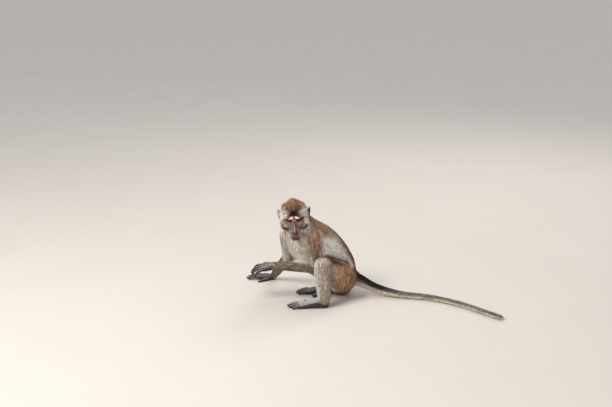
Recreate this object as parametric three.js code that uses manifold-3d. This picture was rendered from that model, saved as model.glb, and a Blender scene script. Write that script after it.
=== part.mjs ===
// A long-tailed macaque, life size, sitting on its haunches with its face turned
// to its left, the left hand held out and the right hand set down beside it.
// Units are millimetres. +Z is up, the body faces -X, its left side is towards -Y,
// and the face looks along -Y. The surfaces are those of the coat, tips included.
import * as THREE from "three";
import { mergeVertices } from "three/addons/utils/BufferGeometryUtils.js";
import Module from "manifold-3d";

const wasm = await Module();
wasm.setup();

// ---------------------------------------------------------------- driving dimensions
const GAP = 0.3; // clear space between neighbouring nodes
const degrees = (a) => (a * Math.PI) / 180;
const at = (x, y, z) => new THREE.Vector3(x, y, z);

// Joint centres.
const JOINT = {
  left: {
    hip: at(50, 88, 62),
    knee: at(-17, 14, 132),
    ankle: at(-11, 6, 24),
    shoulder: at(-50, 64, 204),
    elbow: at(-30, 58, 110),
    wrist: at(-160, 62, 113),
  },
  right: {
    hip: at(38, 170, 58),
    knee: at(-48, 174, 128),
    ankle: at(13, 132, 24),
    shoulder: at(-118, 132, 200),
    elbow: at(-119, 180, 106),
    wrist: at(-166, 252, 22),
  },
};

// The trunk: centre, half width across, half depth from back to belly, and how far
// the chest is turned towards -Y there, in degrees.
const TRUNK = [
  { centre: at(41, 132, 14), wide: 33, deep: 33, turn: 10 },
  { centre: at(43, 128, 48), wide: 54, deep: 48, turn: 12 },
  { centre: at(28, 122, 90), wide: 58, deep: 62, turn: 16 },
  { centre: at(-6, 116, 127), wide: 59, deep: 75, turn: 22 },
  { centre: at(-41, 110, 160), wide: 61, deep: 78, turn: 30 },
  { centre: at(-68, 104, 195), wide: 60, deep: 67, turn: 38 },
  { centre: at(-84, 98, 226), wide: 49, deep: 49, turn: 46 },
  { centre: at(-97, 92, 250), wide: 38, deep: 38, turn: 60 },
];
// Where the trunk is parted into rump, belly, chest and neck, as a share of its length.
const TRUNK_CUTS = [0.27, 0.5, 0.8];

// The tail's centre line and its radius along it, from the root to the tip.
const TAIL = [
  { centre: at(66, 127, 56), radius: 25 },
  { centre: at(98, 124, 46), radius: 19.5 },
  { centre: at(140, 114, 27), radius: 15 },
  { centre: at(180, 102, 17), radius: 13 },
  { centre: at(228, 87, 11), radius: 11 },
  { centre: at(313, 67, 8.8), radius: 9.4 },
  { centre: at(398, 12, 8.2), radius: 8.8 },
  { centre: at(460, -54, 7.8), radius: 8.4 },
  { centre: at(501, -97, 7.4), radius: 8 },
];
const TAIL_CUTS = [0.36, 0.57, 0.78];

// The head's own frame has its origin midway between the eyes, +X to the front,
// +Y to the animal's left and +Z up.
// The head's turns about its own axes are in degrees.
const HEAD = { centre: at(-101, 30, 264), nod: 10, roll: 4.5, yaw: -88 };
const EYE = { radius: 8.2, front: -2.2, aside: 11.2, rise: 1.6 };
const EAR = { back: -43, aside: 42, rise: 5, tall: 18.5, wide: 12.5, thick: 2.2, cup: 4 };

// ---------------------------------------------------------------- solids
function solidOf(geometry) {
  const bare = geometry.clone();
  bare.deleteAttribute("normal");
  bare.deleteAttribute("uv");
  const merged = mergeVertices(bare, 1e-4);
  const made = new wasm.Manifold(
    new wasm.Mesh({
      numProp: 3,
      vertProperties: merged.attributes.position.array,
      triVerts: new Uint32Array(merged.index.array),
    }),
  );
  return made;
}

function geometryOf(solid) {
  const { numProp, numVert, vertProperties, triVerts } = solid.getMesh();
  const positions = new Float32Array(numVert * 3);
  for (let i = 0; i < numVert; i++)
    positions.set(vertProperties.subarray(i * numProp, i * numProp + 3), i * 3);
  const geometry = new THREE.BufferGeometry();
  geometry.setAttribute("position", new THREE.BufferAttribute(positions, 3));
  geometry.setIndex(new THREE.BufferAttribute(new Uint32Array(triVerts), 1));
  geometry.computeVertexNormals();
  return geometry;
}

// Joins rings of points, and one point at each end, into a closed solid.
function solidOfRings(first, rings, last) {
  const sides = rings[0].length;
  const points = [first, ...rings.flat(), last];
  const end = points.length - 1;
  const corner = (ring, side) => 1 + ring * sides + (side % sides);
  const faces = [];
  for (let side = 0; side < sides; side++) {
    faces.push(0, corner(0, side + 1), corner(0, side));
    for (let ring = 0; ring < rings.length - 1; ring++) {
      const [a, b] = [corner(ring, side), corner(ring, side + 1)];
      const [c, d] = [corner(ring + 1, side), corner(ring + 1, side + 1)];
      faces.push(a, b, d, a, d, c);
    }
    faces.push(end, corner(rings.length - 1, side), corner(rings.length - 1, side + 1));
  }
  const geometry = new THREE.BufferGeometry().setFromPoints(points);
  geometry.setIndex(faces);
  const solid = solidOf(geometry);
  if (solid.volume() > 0) return solid;
  geometry.setIndex(faces.reverse());
  return solidOf(geometry);
}

// A body form swept through stations. Each station has a centre, a half width along
// its side direction, a half depth across it, and an optional squareness, 2 for an
// ellipse and more for a boxier section. Both ends are domes.
function loft(stations, { rings, sides, domes = [1, 1], grow = 0, domeRings = 3 }) {
  const centres = new THREE.CatmullRomCurve3(stations.map((s) => s.centre));
  const sizes = new THREE.CatmullRomCurve3(
    stations.map((s) => at(s.wide, s.deep, s.square ?? 2)),
  );
  const across = new THREE.CatmullRomCurve3(stations.map((s) => s.side));
  const frameAt = (t) => {
    const along = centres.getTangent(t);
    const side = across.getPoint(t);
    side.addScaledVector(along, -side.dot(along)).normalize();
    const size = sizes.getPoint(t);
    return { centre: centres.getPoint(t), along, side, up: side.clone().cross(along), size };
  };
  const ringOf = (frame, scale, shift) =>
    Array.from({ length: sides }, (_, i) => {
      const angle = (2 * Math.PI * i) / sides;
      const bend = (v) => Math.sign(v) * Math.abs(v) ** (2 / frame.size.z);
      return frame.centre
        .clone()
        .addScaledVector(frame.along, shift)
        .addScaledVector(frame.side, bend(Math.cos(angle)) * (frame.size.x + grow) * scale)
        .addScaledVector(frame.up, bend(Math.sin(angle)) * (frame.size.y + grow) * scale);
    });
  const made = [];
  const domeDepth = (frame, share) => Math.min(frame.size.x, frame.size.y) * share + grow;
  const [start, finish] = [frameAt(0), frameAt(1)];
  for (let i = 1; i < domeRings; i++) {
    const angle = (Math.PI / 2) * (i / domeRings);
    made.push(ringOf(start, Math.sin(angle), -Math.cos(angle) * domeDepth(start, domes[0])));
  }
  for (let i = 0; i <= rings; i++) made.push(ringOf(frameAt(i / rings), 1, 0));
  for (let i = domeRings - 1; i > 0; i--) {
    const angle = (Math.PI / 2) * (i / domeRings);
    made.push(ringOf(finish, Math.sin(angle), Math.cos(angle) * domeDepth(finish, domes[1])));
  }
  const tip = (frame, share, way) =>
    frame.centre.clone().addScaledVector(frame.along, way * domeDepth(frame, share));
  return solidOfRings(tip(start, domes[0], -1), made, tip(finish, domes[1], 1));
}

function placed(solid, matrix) {
  return solidOf(geometryOf(solid).applyMatrix4(matrix));
}

function without(solid, ...others) {
  return others.reduce((left, other) => left.subtract(other), solid);
}

function largest(solid) {
  return solid.decompose().reduce((a, b) => (a.volume() > b.volume() ? a : b));
}

// The part of a solid above the ground, or above a small clearance over it.
const aboveGround = (solid, clearance = 0) => solid.trimByPlane([0, 0, 1], clearance);

// Parts a swept solid with thin plane cuts at shares of its centre line.
function parted(solid, centreLine, shares) {
  const pieces = [];
  let rest = solid;
  for (const share of shares) {
    const through = centreLine.getPoint(share);
    const normal = centreLine.getTangent(share);
    const offset = through.dot(normal);
    const back = normal.clone().negate();
    pieces.push(rest.trimByPlane(back.toArray(), -offset + GAP / 2));
    rest = rest.trimByPlane(normal.toArray(), offset + GAP / 2);
  }
  return [...pieces, rest];
}

// ---------------------------------------------------------------- head
// Rounded fields, below zero inside the form and above zero outside. A blend joins two
// of them with a fillet of the given softness, and a pair is the same form on both sides.
const ellipsoid = (centre, radii) => (p) => {
  const [x, y, z] = [p.x - centre[0], p.y - centre[1], p.z - centre[2]];
  const near = Math.hypot(x / radii[0], y / radii[1], z / radii[2]);
  const slope = Math.hypot(x / radii[0] ** 2, y / radii[1] ** 2, z / radii[2] ** 2);
  return slope < 1e-9 ? -Math.min(...radii) : (near * (near - 1)) / slope;
};
const blend = (a, b, soft) => {
  const h = Math.max(soft - Math.abs(a - b), 0) / soft;
  return Math.min(a, b) - (h * h * soft) / 4;
};
const pairOf = ([x, y, z], radii) => {
  const form = ellipsoid([x, y, z], radii);
  return (p) => form({ x: p.x, y: Math.abs(p.y), z: p.z });
};

const HEAD_FORMS = [
  { form: ellipsoid([-44, 0, 9], [45, 37, 34]), soft: 8 }, // braincase
  { form: ellipsoid([-46, 0, 32], [18, 12, 15]), soft: 18 }, // peak of the crown
  { form: pairOf([-44, 24, 16], [24, 16, 17]), soft: 12 }, // hair over the temples
  { form: ellipsoid([-64, 0, -10], [30, 33, 34]), soft: 14 }, // nape
  { form: pairOf([-25, 27, -14], [24, 16, 26]), soft: 14 }, // side whiskers
  { form: pairOf([-7, 17, -15], [18, 15, 17]), soft: 12 }, // cheeks
  { form: pairOf([-2, 13, 10], [9, 17, 8]), soft: 8 }, // brow ridge
  { form: ellipsoid([3, 0, -2], [10, 6, 12]), soft: 8 }, // root of the nose
  { form: ellipsoid([14, 0, -15], [15, 8, 10]), soft: 8 }, // bridge of the nose
  { form: ellipsoid([10, 0, -29], [23, 15, 14]), soft: 10 }, // muzzle
  { form: ellipsoid([26, 0, -25], [7, 9, 6]), soft: 8 }, // nose
  { form: ellipsoid([14, 0, -39], [18, 16, 9]), soft: 8 }, // lips
  { form: ellipsoid([7, 0, -50], [17, 13, 9.5]), soft: 9 }, // chin
  { form: ellipsoid([-24, 0, -36], [30, 28, 22]), soft: 16 }, // throat
];
const ORBIT = pairOf([10, 11.4, 1.6], [8, 8.5, 6]);

function headField(p) {
  const whole = HEAD_FORMS.reduce((sum, { form, soft }) => blend(sum, form(p), soft), 1e3);
  return -blend(-whole, ORBIT(p), 5);
}

// The head's surface along rays from a point inside it, with closer rings on the face.
function headSolid(grow) {
  const heart = at(-14, 0, -12);
  const [rings, sides, reach] = [17, 22, 110];
  const surfaceAlong = (ray) => {
    let [low, high] = [0, reach];
    for (let step = 0; step <= 55; step++) {
      high = reach * (1 - step / 55);
      if (headField(heart.clone().addScaledVector(ray, high)) < 0) break;
      low = high;
    }
    for (let i = 0; i < 14; i++) {
      const middle = (low + high) / 2;
      if (headField(heart.clone().addScaledVector(ray, middle)) < 0) high = middle;
      else low = middle;
    }
    return heart.clone().addScaledVector(ray, high + grow);
  };
  const made = [];
  for (let i = 1; i < rings; i++) {
    const tilt = Math.PI * (i / rings) ** 1.25;
    made.push(
      Array.from({ length: sides }, (_, j) => {
        const turn = (2 * Math.PI * j) / sides;
        const ray = at(
          Math.cos(tilt),
          Math.sin(tilt) * Math.sin(turn),
          Math.sin(tilt) * Math.cos(turn),
        );
        return surfaceAlong(ray);
      }),
    );
  }
  return solidOfRings(surfaceAlong(at(1, 0, 0)), made, surfaceAlong(at(-1, 0, 0)));
}

const headPlace = new THREE.Matrix4()
  .makeTranslation(HEAD.centre)
  .multiply(new THREE.Matrix4().makeRotationZ(degrees(HEAD.yaw)))
  .multiply(new THREE.Matrix4().makeRotationY(degrees(HEAD.nod)))
  .multiply(new THREE.Matrix4().makeRotationX(degrees(HEAD.roll)));

function eyeSolid(way, grow) {
  const ball = new THREE.SphereGeometry(EYE.radius + grow, 10, 7);
  ball.translate(EYE.front, way * EYE.aside, EYE.rise);
  return solidOf(ball.applyMatrix4(headPlace));
}

// A cupped leaf of skin and short hair, a little pointed at the top.
function earSolid(way, grow) {
  const leaf = new THREE.SphereGeometry(1, 10, 8);
  const place = leaf.attributes.position;
  for (let i = 0; i < place.count; i++) {
    const [x, y, z] = [place.getX(i), place.getY(i), place.getZ(i)];
    const narrowing = 1 - 0.3 * Math.max(z, 0) ** 2 - 0.15 * Math.max(-z, 0);
    place.setXYZ(
      i,
      y * (EAR.wide + grow) * narrowing,
      -x * (EAR.thick + grow) + EAR.cup * (1 - y * y),
      z * (EAR.tall + grow) * (1 + 0.12 * Math.max(z, 0)),
    );
  }
  leaf.computeBoundingSphere();
  const lean = new THREE.Matrix4()
    .makeRotationZ(degrees(-38))
    .multiply(new THREE.Matrix4().makeRotationX(degrees(-8)));
  leaf.applyMatrix4(lean);
  leaf.translate(EAR.back, EAR.aside, EAR.rise);
  if (way < 0) {
    leaf.scale(1, -1, 1);
    leaf.setIndex(Array.from(leaf.index.array).reverse());
  }
  return solidOf(leaf.applyMatrix4(headPlace));
}

// ---------------------------------------------------------------- trunk and tail
function turned(turn) {
  return at(-Math.sin(degrees(turn)), Math.cos(degrees(turn)), 0);
}
const trunkStations = TRUNK.map((s) => ({ ...s, side: turned(s.turn) }));
const trunkLine = new THREE.CatmullRomCurve3(TRUNK.map((s) => s.centre));
const trunkSolid = (grow) => loft(trunkStations, { rings: 11, sides: 14, grow, domeRings: 2 });

const tailStations = TAIL.map(({ centre, radius }) => ({
  centre,
  wide: radius,
  deep: radius,
  side: at(0.3, 1, 0),
}));
const tailLine = new THREE.CatmullRomCurve3(TAIL.map((s) => s.centre));
const tailSolid = (grow) => loft(tailStations, { rings: 20, sides: 8, grow, domeRings: 2 });

// ---------------------------------------------------------------- limbs
// A limb length from one joint to the next. Each row of the profile is the share of
// the way, the half width and the half depth.
function limbLength(from, to, side, profile, options) {
  const along = to.clone().sub(from).normalize();
  const square = side.clone().addScaledVector(along, -side.dot(along)).normalize();
  const stations = profile.map(([share, wide, deep]) => ({
    centre: from.clone().lerp(to, share),
    side: square,
    wide,
    deep,
  }));
  return loft(stations, options);
}

const THIGH = [
  [-0.04, 37, 41],
  [0.2, 37, 43],
  [0.45, 33, 40],
  [0.72, 26, 30],
  [0.94, 18, 20],
];
const SHANK = [
  [0, 22, 25],
  [0.22, 22, 26],
  [0.5, 20, 24.5],
  [0.8, 17, 22],
  [1, 15, 19.5],
];
const UPPER_ARM = [
  [0.0, 28, 32],
  [0.25, 26, 30],
  [0.6, 23, 26],
  [1.0, 20, 21],
];
const FOREARM = [
  [0.0, 18, 20],
  [0.25, 18, 19],
  [0.6, 16, 16],
  [1.0, 14, 12],
];

const limbSide = {
  thigh: { left: at(0.75, -0.65, 0), right: at(0.1, 1, 0) },
  shank: { left: at(0, 1, 0), right: at(0.1, 1, 0) },
  arm: { left: at(0.7, -0.7, 0), right: at(-0.4, 1, 0.4) },
  forearm: { left: at(0, 1, 0), right: at(1, 0, 0) },
};
const LEG = { rings: 4, sides: 12 };
const ARM = { rings: 4, sides: 10 };
function limb(flank, name, [from, to], profile, options) {
  const joint = JOINT[flank];
  return limbLength(joint[from], joint[to], limbSide[name][flank], profile, options);
}
const thigh = (flank, grow) => limb(flank, "thigh", ["hip", "knee"], THIGH, { ...LEG, grow });
const shank = (flank, grow) => limb(flank, "shank", ["knee", "ankle"], SHANK, { ...LEG, grow });
const upperArm = (flank, grow) =>
  limb(flank, "arm", ["shoulder", "elbow"], UPPER_ARM, { ...ARM, grow });
const forearm = (flank, grow) =>
  limb(flank, "forearm", ["elbow", "wrist"], FOREARM, { ...ARM, grow });

// ---------------------------------------------------------------- hands and feet
// A hand's or foot's own frame: forward along the middle digit, aside towards the
// thumb or great toe, and up out of its back.
function frameOf(origin, forward, back) {
  const x = forward.clone().normalize();
  const y = back.clone().cross(x).normalize();
  const z = x.clone().cross(y);
  return { origin, x, y, z };
}
const inFrame = (frame, [x, y, z]) =>
  frame.origin
    .clone()
    .addScaledVector(frame.x, x)
    .addScaledVector(frame.y, y)
    .addScaledVector(frame.z, z);

function padLoft(frame, way, rows, options) {
  const stations = rows.map(([x, y, z, wide, deep]) => ({
    centre: inFrame(frame, [x, way * y, z]),
    side: frame.y,
    wide,
    deep,
    square: 2.5,
  }));
  return loft(stations, options);
}

// One digit: root, direction, lengths of its bones, and how much each joint bends.
function digit(frame, way, { root, splay, rise, bones, bends, radius }, grow) {
  const points = [root];
  let pitch = rise;
  bones.forEach((bone, i) => {
    const [x, y, z] = points[i];
    pitch -= bends[i];
    points.push([
      x + bone * Math.cos(degrees(pitch)) * Math.cos(degrees(splay)),
      y + bone * Math.cos(degrees(pitch)) * Math.sin(degrees(splay)),
      z + bone * Math.sin(degrees(pitch)),
    ]);
  });
  const taper = [1, 0.98, 0.9, 0.78];
  const stations = points.map(([x, y, z], i) => ({
    centre: inFrame(frame, [x, way * y, z]),
    side: frame.y,
    wide: radius * taper[i],
    deep: radius * taper[i] * 0.95,
  }));
  return loft(stations, { rings: 3, sides: 6, grow, domeRings: 2 });
}

const DIGIT_NAMES = ["first", "second", "third", "fourth", "fifth"];

// Rows of a pad: forward, aside and up of its centre, then half width and half height.
const PALM = [
  [0, 0, 0, 12, 9],
  [14, 0, 0, 16, 9.5],
  [28, 0, 0.5, 19, 9],
  [38, -0.5, 0, 18, 7],
];
const SOLE = [
  [0, 0, 11, 13, 13],
  [18, 0, 12, 14.5, 14],
  [40, 0, 10, 17, 12],
  [62, -1, 8, 19, 9.5],
  [74, -2, 6.5, 18, 7.5],
];

function handDigits({ fingerBends, thumbRise, thumbBends }) {
  const finger = (row, aside, bones, splay) => ({
    root: [36 + row, aside, 1],
    splay,
    rise: 6,
    bones,
    bends: fingerBends,
    radius: 4.6,
  });
  return [
    {
      root: [12, 14, -3],
      splay: 42,
      rise: thumbRise,
      bones: [16, 11, 8],
      bends: thumbBends,
      radius: 4.8,
    },
    finger(1, 14, [19, 13, 9], 10),
    finger(3, 4.8, [22, 15, 9], 3.5),
    finger(2, -4.8, [21, 14, 9], -3.5),
    finger(-1, -14, [17, 11, 8], -11),
  ];
}
function footDigits(arch) {
  const toe = (row, aside, bones, splay) => ({
    root: [70 + row, aside, 6.5],
    splay,
    rise: arch,
    bones,
    bends: [0, arch + 9, 14],
    radius: 5.1,
  });
  return [
    { root: [30, 13, 8], splay: 40, rise: -4, bones: [18, 13, 9], bends: [0, 0, 4], radius: 6 },
    toe(1, 12.5, [15, 10, 8], 8),
    toe(3, 2.8, [18, 12, 8], 2.5),
    toe(1, -7.2, [17, 11, 8], -4.5),
    toe(-4, -16, [15, 9, 7], -11),
  ];
}

// Where each hand and foot lies, with its forward and upward directions.
const handFrame = {
  left: frameOf(JOINT.left.wrist, at(-0.96, 0.12, -0.2), at(-0.2, -0.35, 1)),
  right: frameOf(at(-172, 258, 8.6), at(-1, 0.22, 0), at(0, 0, 1)),
};
const footFrame = {
  left: frameOf(at(-8, 5, 0), at(-1, 0.03, 0), at(0, 0, 1)),
  right: frameOf(at(17, 131, 0), at(-1, -0.02, 0), at(0, 0, 1)),
};
const thumbWay = { left: -1, right: 1 };
const TOE_ARCH = 8; // how steeply the toes leave the sole, in degrees
// How far the digits bend: the left hand hangs loosely closed, the right lies flat.
const CURL = {
  left: { fingerBends: [10, 28, 30], thumbRise: -8, thumbBends: [0, 8, 8] },
  right: { fingerBends: [7, 11, 6], thumbRise: 0, thumbBends: [2, 3, 4] },
};

const palm = (flank, grow) =>
  padLoft(handFrame[flank], thumbWay[flank], PALM, { rings: 4, sides: 10, grow, domes: [1, 0.8] });
const sole = (flank, grow) =>
  padLoft(footFrame[flank], thumbWay[flank], SOLE, { rings: 4, sides: 10, grow, domes: [0.9, 0.9] });

// ---------------------------------------------------------------- colours
const coat = (color) => new THREE.MeshStandardMaterial({ color, roughness: 0.85, metalness: 0 });
const MATERIAL = {
  back: coat(0x8a7560),
  flank: coat(0x9a8d7f),
  underside: coat(0xcabfae),
  crown: coat(0x8f6b45),
  limb: coat(0xa59a8c),
  tail: coat(0x6f6c6b),
  skin: new THREE.MeshStandardMaterial({ color: 0x4d4a4b, roughness: 0.6, metalness: 0 }),
  eye: new THREE.MeshStandardMaterial({ color: 0x6b4a1e, roughness: 0.1, metalness: 0 }),
};

// ---------------------------------------------------------------- assembly
const monkey = new THREE.Group();
function add(name, solid, material) {
  const mesh = new THREE.Mesh(geometryOf(largest(solid)), material);
  mesh.name = name;
  monkey.add(mesh);
}

const headIn = (grow) => placed(headSolid(grow), headPlace);
const FLANKS = ["left", "right"];
const eyes = (grow) => [eyeSolid(1, grow), eyeSolid(-1, grow)];
const ears = (grow) => [earSolid(1, grow), earSolid(-1, grow)];

add("head", without(headIn(0), ...eyes(GAP), ...ears(GAP)), MATERIAL.crown);
FLANKS.forEach((flank, i) => {
  add(`eye_${flank}`, eyes(0)[i], MATERIAL.eye);
  add(`ear_${flank}`, ears(0)[i], MATERIAL.skin);
});

const limbs = (grow) =>
  FLANKS.flatMap((flank) => [thigh(flank, grow), shank(flank, grow), upperArm(flank, grow)]);
const trunk = without(
  aboveGround(trunkSolid(0)),
  headIn(GAP),
  tailSolid(GAP),
  ...limbs(GAP),
  ...ears(GAP),
  ...FLANKS.map((flank) => sole(flank, GAP)),
  ...FLANKS.map((flank) => forearm(flank, GAP)),
);
const trunkMaterials = [MATERIAL.back, MATERIAL.flank, MATERIAL.back, MATERIAL.underside];
parted(trunk, trunkLine, TRUNK_CUTS).forEach((piece, i) =>
  add(["rump", "belly", "chest", "neck"][i], piece, trunkMaterials[i]),
);
const tail = without(aboveGround(tailSolid(0)), ...FLANKS.map((flank) => thigh(flank, GAP)));
parted(tail, tailLine, TAIL_CUTS).forEach((piece, i) =>
  add(["tail_root", "tail_upper", "tail_middle", "tail_tip"][i], piece, MATERIAL.tail),
);

function addArm(flank) {
  const shoulder = without(upperArm(flank, 0), headIn(GAP), thigh(flank, GAP), shank(flank, GAP));
  add(`upper_arm_${flank}`, shoulder, MATERIAL.limb);
  const lower = without(
    aboveGround(forearm(flank, 0)),
    upperArm(flank, GAP),
    shank(flank, GAP),
    thigh(flank, GAP),
  );
  add(`forearm_${flank}`, lower, MATERIAL.limb);
  const hand = palm(flank, GAP);
  add(`hand_${flank}`, without(aboveGround(palm(flank, 0)), forearm(flank, GAP)), MATERIAL.skin);
  handDigits(CURL[flank]).forEach((shape, i) => {
    const finger = without(digit(handFrame[flank], thumbWay[flank], shape, 0), hand);
    add(`finger_${DIGIT_NAMES[i]}_${flank}`, aboveGround(finger), MATERIAL.skin);
  });
}

function addLeg(flank) {
  const knee = shank(flank, GAP);
  const foot = sole(flank, GAP);
  add(`thigh_${flank}`, without(aboveGround(thigh(flank, 0)), knee, foot), MATERIAL.limb);
  add(`shank_${flank}`, aboveGround(shank(flank, 0)), MATERIAL.limb);
  add(`foot_${flank}`, without(aboveGround(sole(flank, 0)), knee), MATERIAL.skin);
  footDigits(TOE_ARCH).forEach((shape, i) => {
    const toe = without(digit(footFrame[flank], thumbWay[flank], shape, 0), foot);
    add(`toe_${DIGIT_NAMES[i]}_${flank}`, aboveGround(toe), MATERIAL.skin);
  });
}

FLANKS.forEach(addArm);
FLANKS.forEach(addLeg);

// The frame's origin is the middle of the base of the whole model.
const box = new THREE.Box3().setFromObject(monkey);
const middle = box.getCenter(new THREE.Vector3());
monkey.position.set(-middle.x, -middle.y, -box.min.z);

export default monkey;
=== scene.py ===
"""A long-tailed macaque sitting on the ground, in its looks: skin, coat, eyes and nails.

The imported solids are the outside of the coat. The skin is one mesh, drawn in from them by
the coat's depth, and the coat is made of closed tapered tufts that lie along the body.
Names ending in _MM and the tables of the body's lines are in millimetres. Points called q
are in the solids' own working frame, in millimetres, and points called h are in the head's.
"""

import math

import bmesh
import bpy
import numpy as np
from mathutils import Matrix, Vector
from mathutils.bvhtree import BVHTree
from mathutils.kdtree import KDTree


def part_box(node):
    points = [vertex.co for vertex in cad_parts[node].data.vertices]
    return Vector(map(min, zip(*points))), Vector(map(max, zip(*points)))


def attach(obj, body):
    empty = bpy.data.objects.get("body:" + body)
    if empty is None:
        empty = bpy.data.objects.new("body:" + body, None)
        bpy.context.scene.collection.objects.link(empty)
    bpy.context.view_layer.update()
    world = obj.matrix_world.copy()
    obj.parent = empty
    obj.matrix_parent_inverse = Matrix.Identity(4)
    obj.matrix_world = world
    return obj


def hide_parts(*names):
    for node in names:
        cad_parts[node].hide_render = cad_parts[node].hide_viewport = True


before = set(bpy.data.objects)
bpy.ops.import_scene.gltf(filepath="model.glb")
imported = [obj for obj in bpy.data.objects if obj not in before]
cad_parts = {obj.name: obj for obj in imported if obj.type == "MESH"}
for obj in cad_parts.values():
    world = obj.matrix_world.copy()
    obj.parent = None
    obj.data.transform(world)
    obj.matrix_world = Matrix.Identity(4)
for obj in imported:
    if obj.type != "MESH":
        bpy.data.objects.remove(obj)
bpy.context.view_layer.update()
MM = 0.001
EYES = ("eye_left", "eye_right")
FLESH = sorted(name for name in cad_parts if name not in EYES)
random = np.random.default_rng(11)  # seeded, so each run grows the same coat

# ---- the body's regions
# The coat's depth, the tufts' length and width and their number per square millimetre,
# how strongly the solids are smoothed, and how much lighter and darker tufts mix.
REGIONS = {
    "head": (0.4, 10.5, 0.6, 1.5, 0.1, 0.5),
    "ear": (0.3, 3.5, 0.45, 0.3, 0.03, 0.2),
    "neck": (5.0, 17.0, 0.8, 1.2, 1.0, 0.35),
    "chest": (5.0, 17.0, 0.82, 1.05, 1.0, 0.35),
    "belly": (4.5, 16.0, 0.85, 0.95, 1.0, 0.35),
    "rump": (4.5, 15.0, 0.85, 0.9, 1.0, 0.5),
    "tail": (1.8, 7.5, 0.65, 1.2, 0.15, 0.35),
    "upper_arm": (4.0, 15.0, 0.78, 1.12, 0.5, 0.45),
    "forearm": (2.6, 10.0, 0.7, 1.3, 0.3, 0.9),
    "hand": (0.4, 4.5, 0.5, 0.5, 0.1, 0.5),
    "finger": (0.3, 2.6, 0.45, 0.35, 0.04, 0.3),
    "thigh": (4.5, 15.0, 0.85, 0.95, 0.6, 0.6),
    "shank": (2.4, 10.0, 0.7, 1.3, 0.35, 0.4),
    "foot": (0.4, 4.5, 0.5, 0.35, 0.12, 0.4),
    "toe": (0.3, 2.6, 0.45, 0.3, 0.04, 0.3),
}
NAMES = list(REGIONS)
COLUMN = {name: number for number, name in enumerate(NAMES)}
DEPTH, LENGTH, WIDTH, DENSITY, SMOOTH, GRIZZLE = np.array(list(REGIONS.values())).T
TRUNK_PARTS = ("neck", "chest", "belly", "rump")
ARM_PARTS = ("upper_arm", "forearm", "hand", "finger")
LEG_PARTS = ("thigh", "shank", "foot", "toe")
PAWS = ("hand", "finger", "foot", "toe")
# These get a weaker painted highlight on top than the feet.
DARK_PAWS = ("toe", "hand", "finger")  # less pale on top than the feet
SIDES = ("left", "right")


def region_of(node):
    return next(name for name in NAMES if node.startswith(name))


def part_of(share, *names):
    """How much of each point belongs to the named regions together."""
    return share[:, [COLUMN[name] for name in names]].sum(axis=1)


# Lines of the body in the solids' working frame.
TRUNK_LINE = [(-97, 92, 250), (-84, 98, 226), (-68, 104, 195), (-41, 110, 160), (-6, 116, 127),
              (28, 122, 90), (43, 128, 48), (41, 132, 14)]
TAIL_LINE = [(66, 127, 56), (98, 124, 46), (140, 114, 27), (180, 102, 17), (228, 87, 11),
             (313, 67, 9), (398, 12, 8), (460, -54, 8), (501, -97, 7)]
JOINT = {
    "left": {
        "hip": (50, 88, 62), "knee": (-17, 14, 132), "ankle": (-11, 6, 24),
        "shoulder": (-50, 64, 204), "elbow": (-30, 58, 110), "wrist": (-160, 62, 113),
    },
    "right": {
        "hip": (38, 170, 58), "knee": (-48, 174, 128), "ankle": (13, 132, 24),
        "shoulder": (-118, 132, 200), "elbow": (-119, 180, 106), "wrist": (-166, 252, 22),
    },
}
FORWARD = {  # where the fingers and toes point
    "hand": {"left": (-0.96, 0.12, -0.2), "right": (-1, 0.22, 0)},
    "foot": {"left": (-1, 0.03, 0), "right": (-1, -0.02, 0)},
}
UPWARD = {  # out of the backs of the hands and feet
    "hand": {"left": (-0.2, -0.35, 1), "right": (0, 0, 1)},
    "foot": {"left": (0, 0, 1), "right": (0, 0, 1)},
}
OUT_OF_BACK = np.array([0.86, -0.05, 0.5])
# The planes across Y that part the left limbs and flank from the right ones.
ARM_SPLIT_MM, TRUNK_SPLIT_MM, LEG_SPLIT_MM = 100, 110, 130


# ---- small maths
def linear(*colours):
    """One sRGB colour from 0 to 255, or several of them, as linear light."""
    c = np.array(colours) / 255
    return np.where(c <= 0.04045, c / 12.92, ((c + 0.055) / 1.055) ** 2.4)


def ramp(low, high, value):
    """0 up to low and 1 from high on, with a smooth rise between; low may be the greater."""
    t = np.clip((value - low) / (high - low), 0, 1)
    return t * t * (3 - 2 * t)


def unit(vectors):
    return vectors / np.maximum(np.linalg.norm(vectors, axis=-1, keepdims=True), 1e-12)


def between(a, b, share):
    return a * (1 - share) + b * share


def mix(a, b, share):
    """Between two colours, by a share for each point."""
    return between(a, b, np.asarray(share)[..., None])


def layered(colour, *layers):
    """The colour with others laid over it in turn, each by its share at each point."""
    for over, share in layers:
        colour = mix(colour, over, share)
    return colour


def bell(value, middle, width):
    return np.exp(-(((value - middle) / width) ** 2))


def flat_on(vectors, normals):
    """The vectors laid down on the surface that has these normals."""
    return unit(vectors - normals * np.sum(vectors * normals, axis=1, keepdims=True))


def noise(points, size, seed):
    """Smooth noise from -1 to 1 with features about size across."""
    cell = points / size
    base = np.floor(cell).astype(np.int64)
    part = cell - base
    part = part * part * (3 - 2 * part)
    total = np.zeros(len(points))
    for corner in np.ndindex(2, 2, 2):
        place = base + np.array(corner)
        mixed = place[:, 0] * 73856093 ^ place[:, 1] * 19349663 ^ place[:, 2] * 83492791
        mixed = (mixed + seed * 2654435761) & 0xFFFFFFFF
        mixed = ((mixed ^ (mixed >> 15)) * 2246822519) & 0xFFFFFFFF
        mixed = (mixed ^ (mixed >> 13)) & 0xFFFF
        share = np.prod(np.where(corner, part, 1 - part), axis=1)
        total += share * (mixed / 32767.5 - 1)
    return total


AT_ONCE = 50000  # points, to spare the memory


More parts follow.
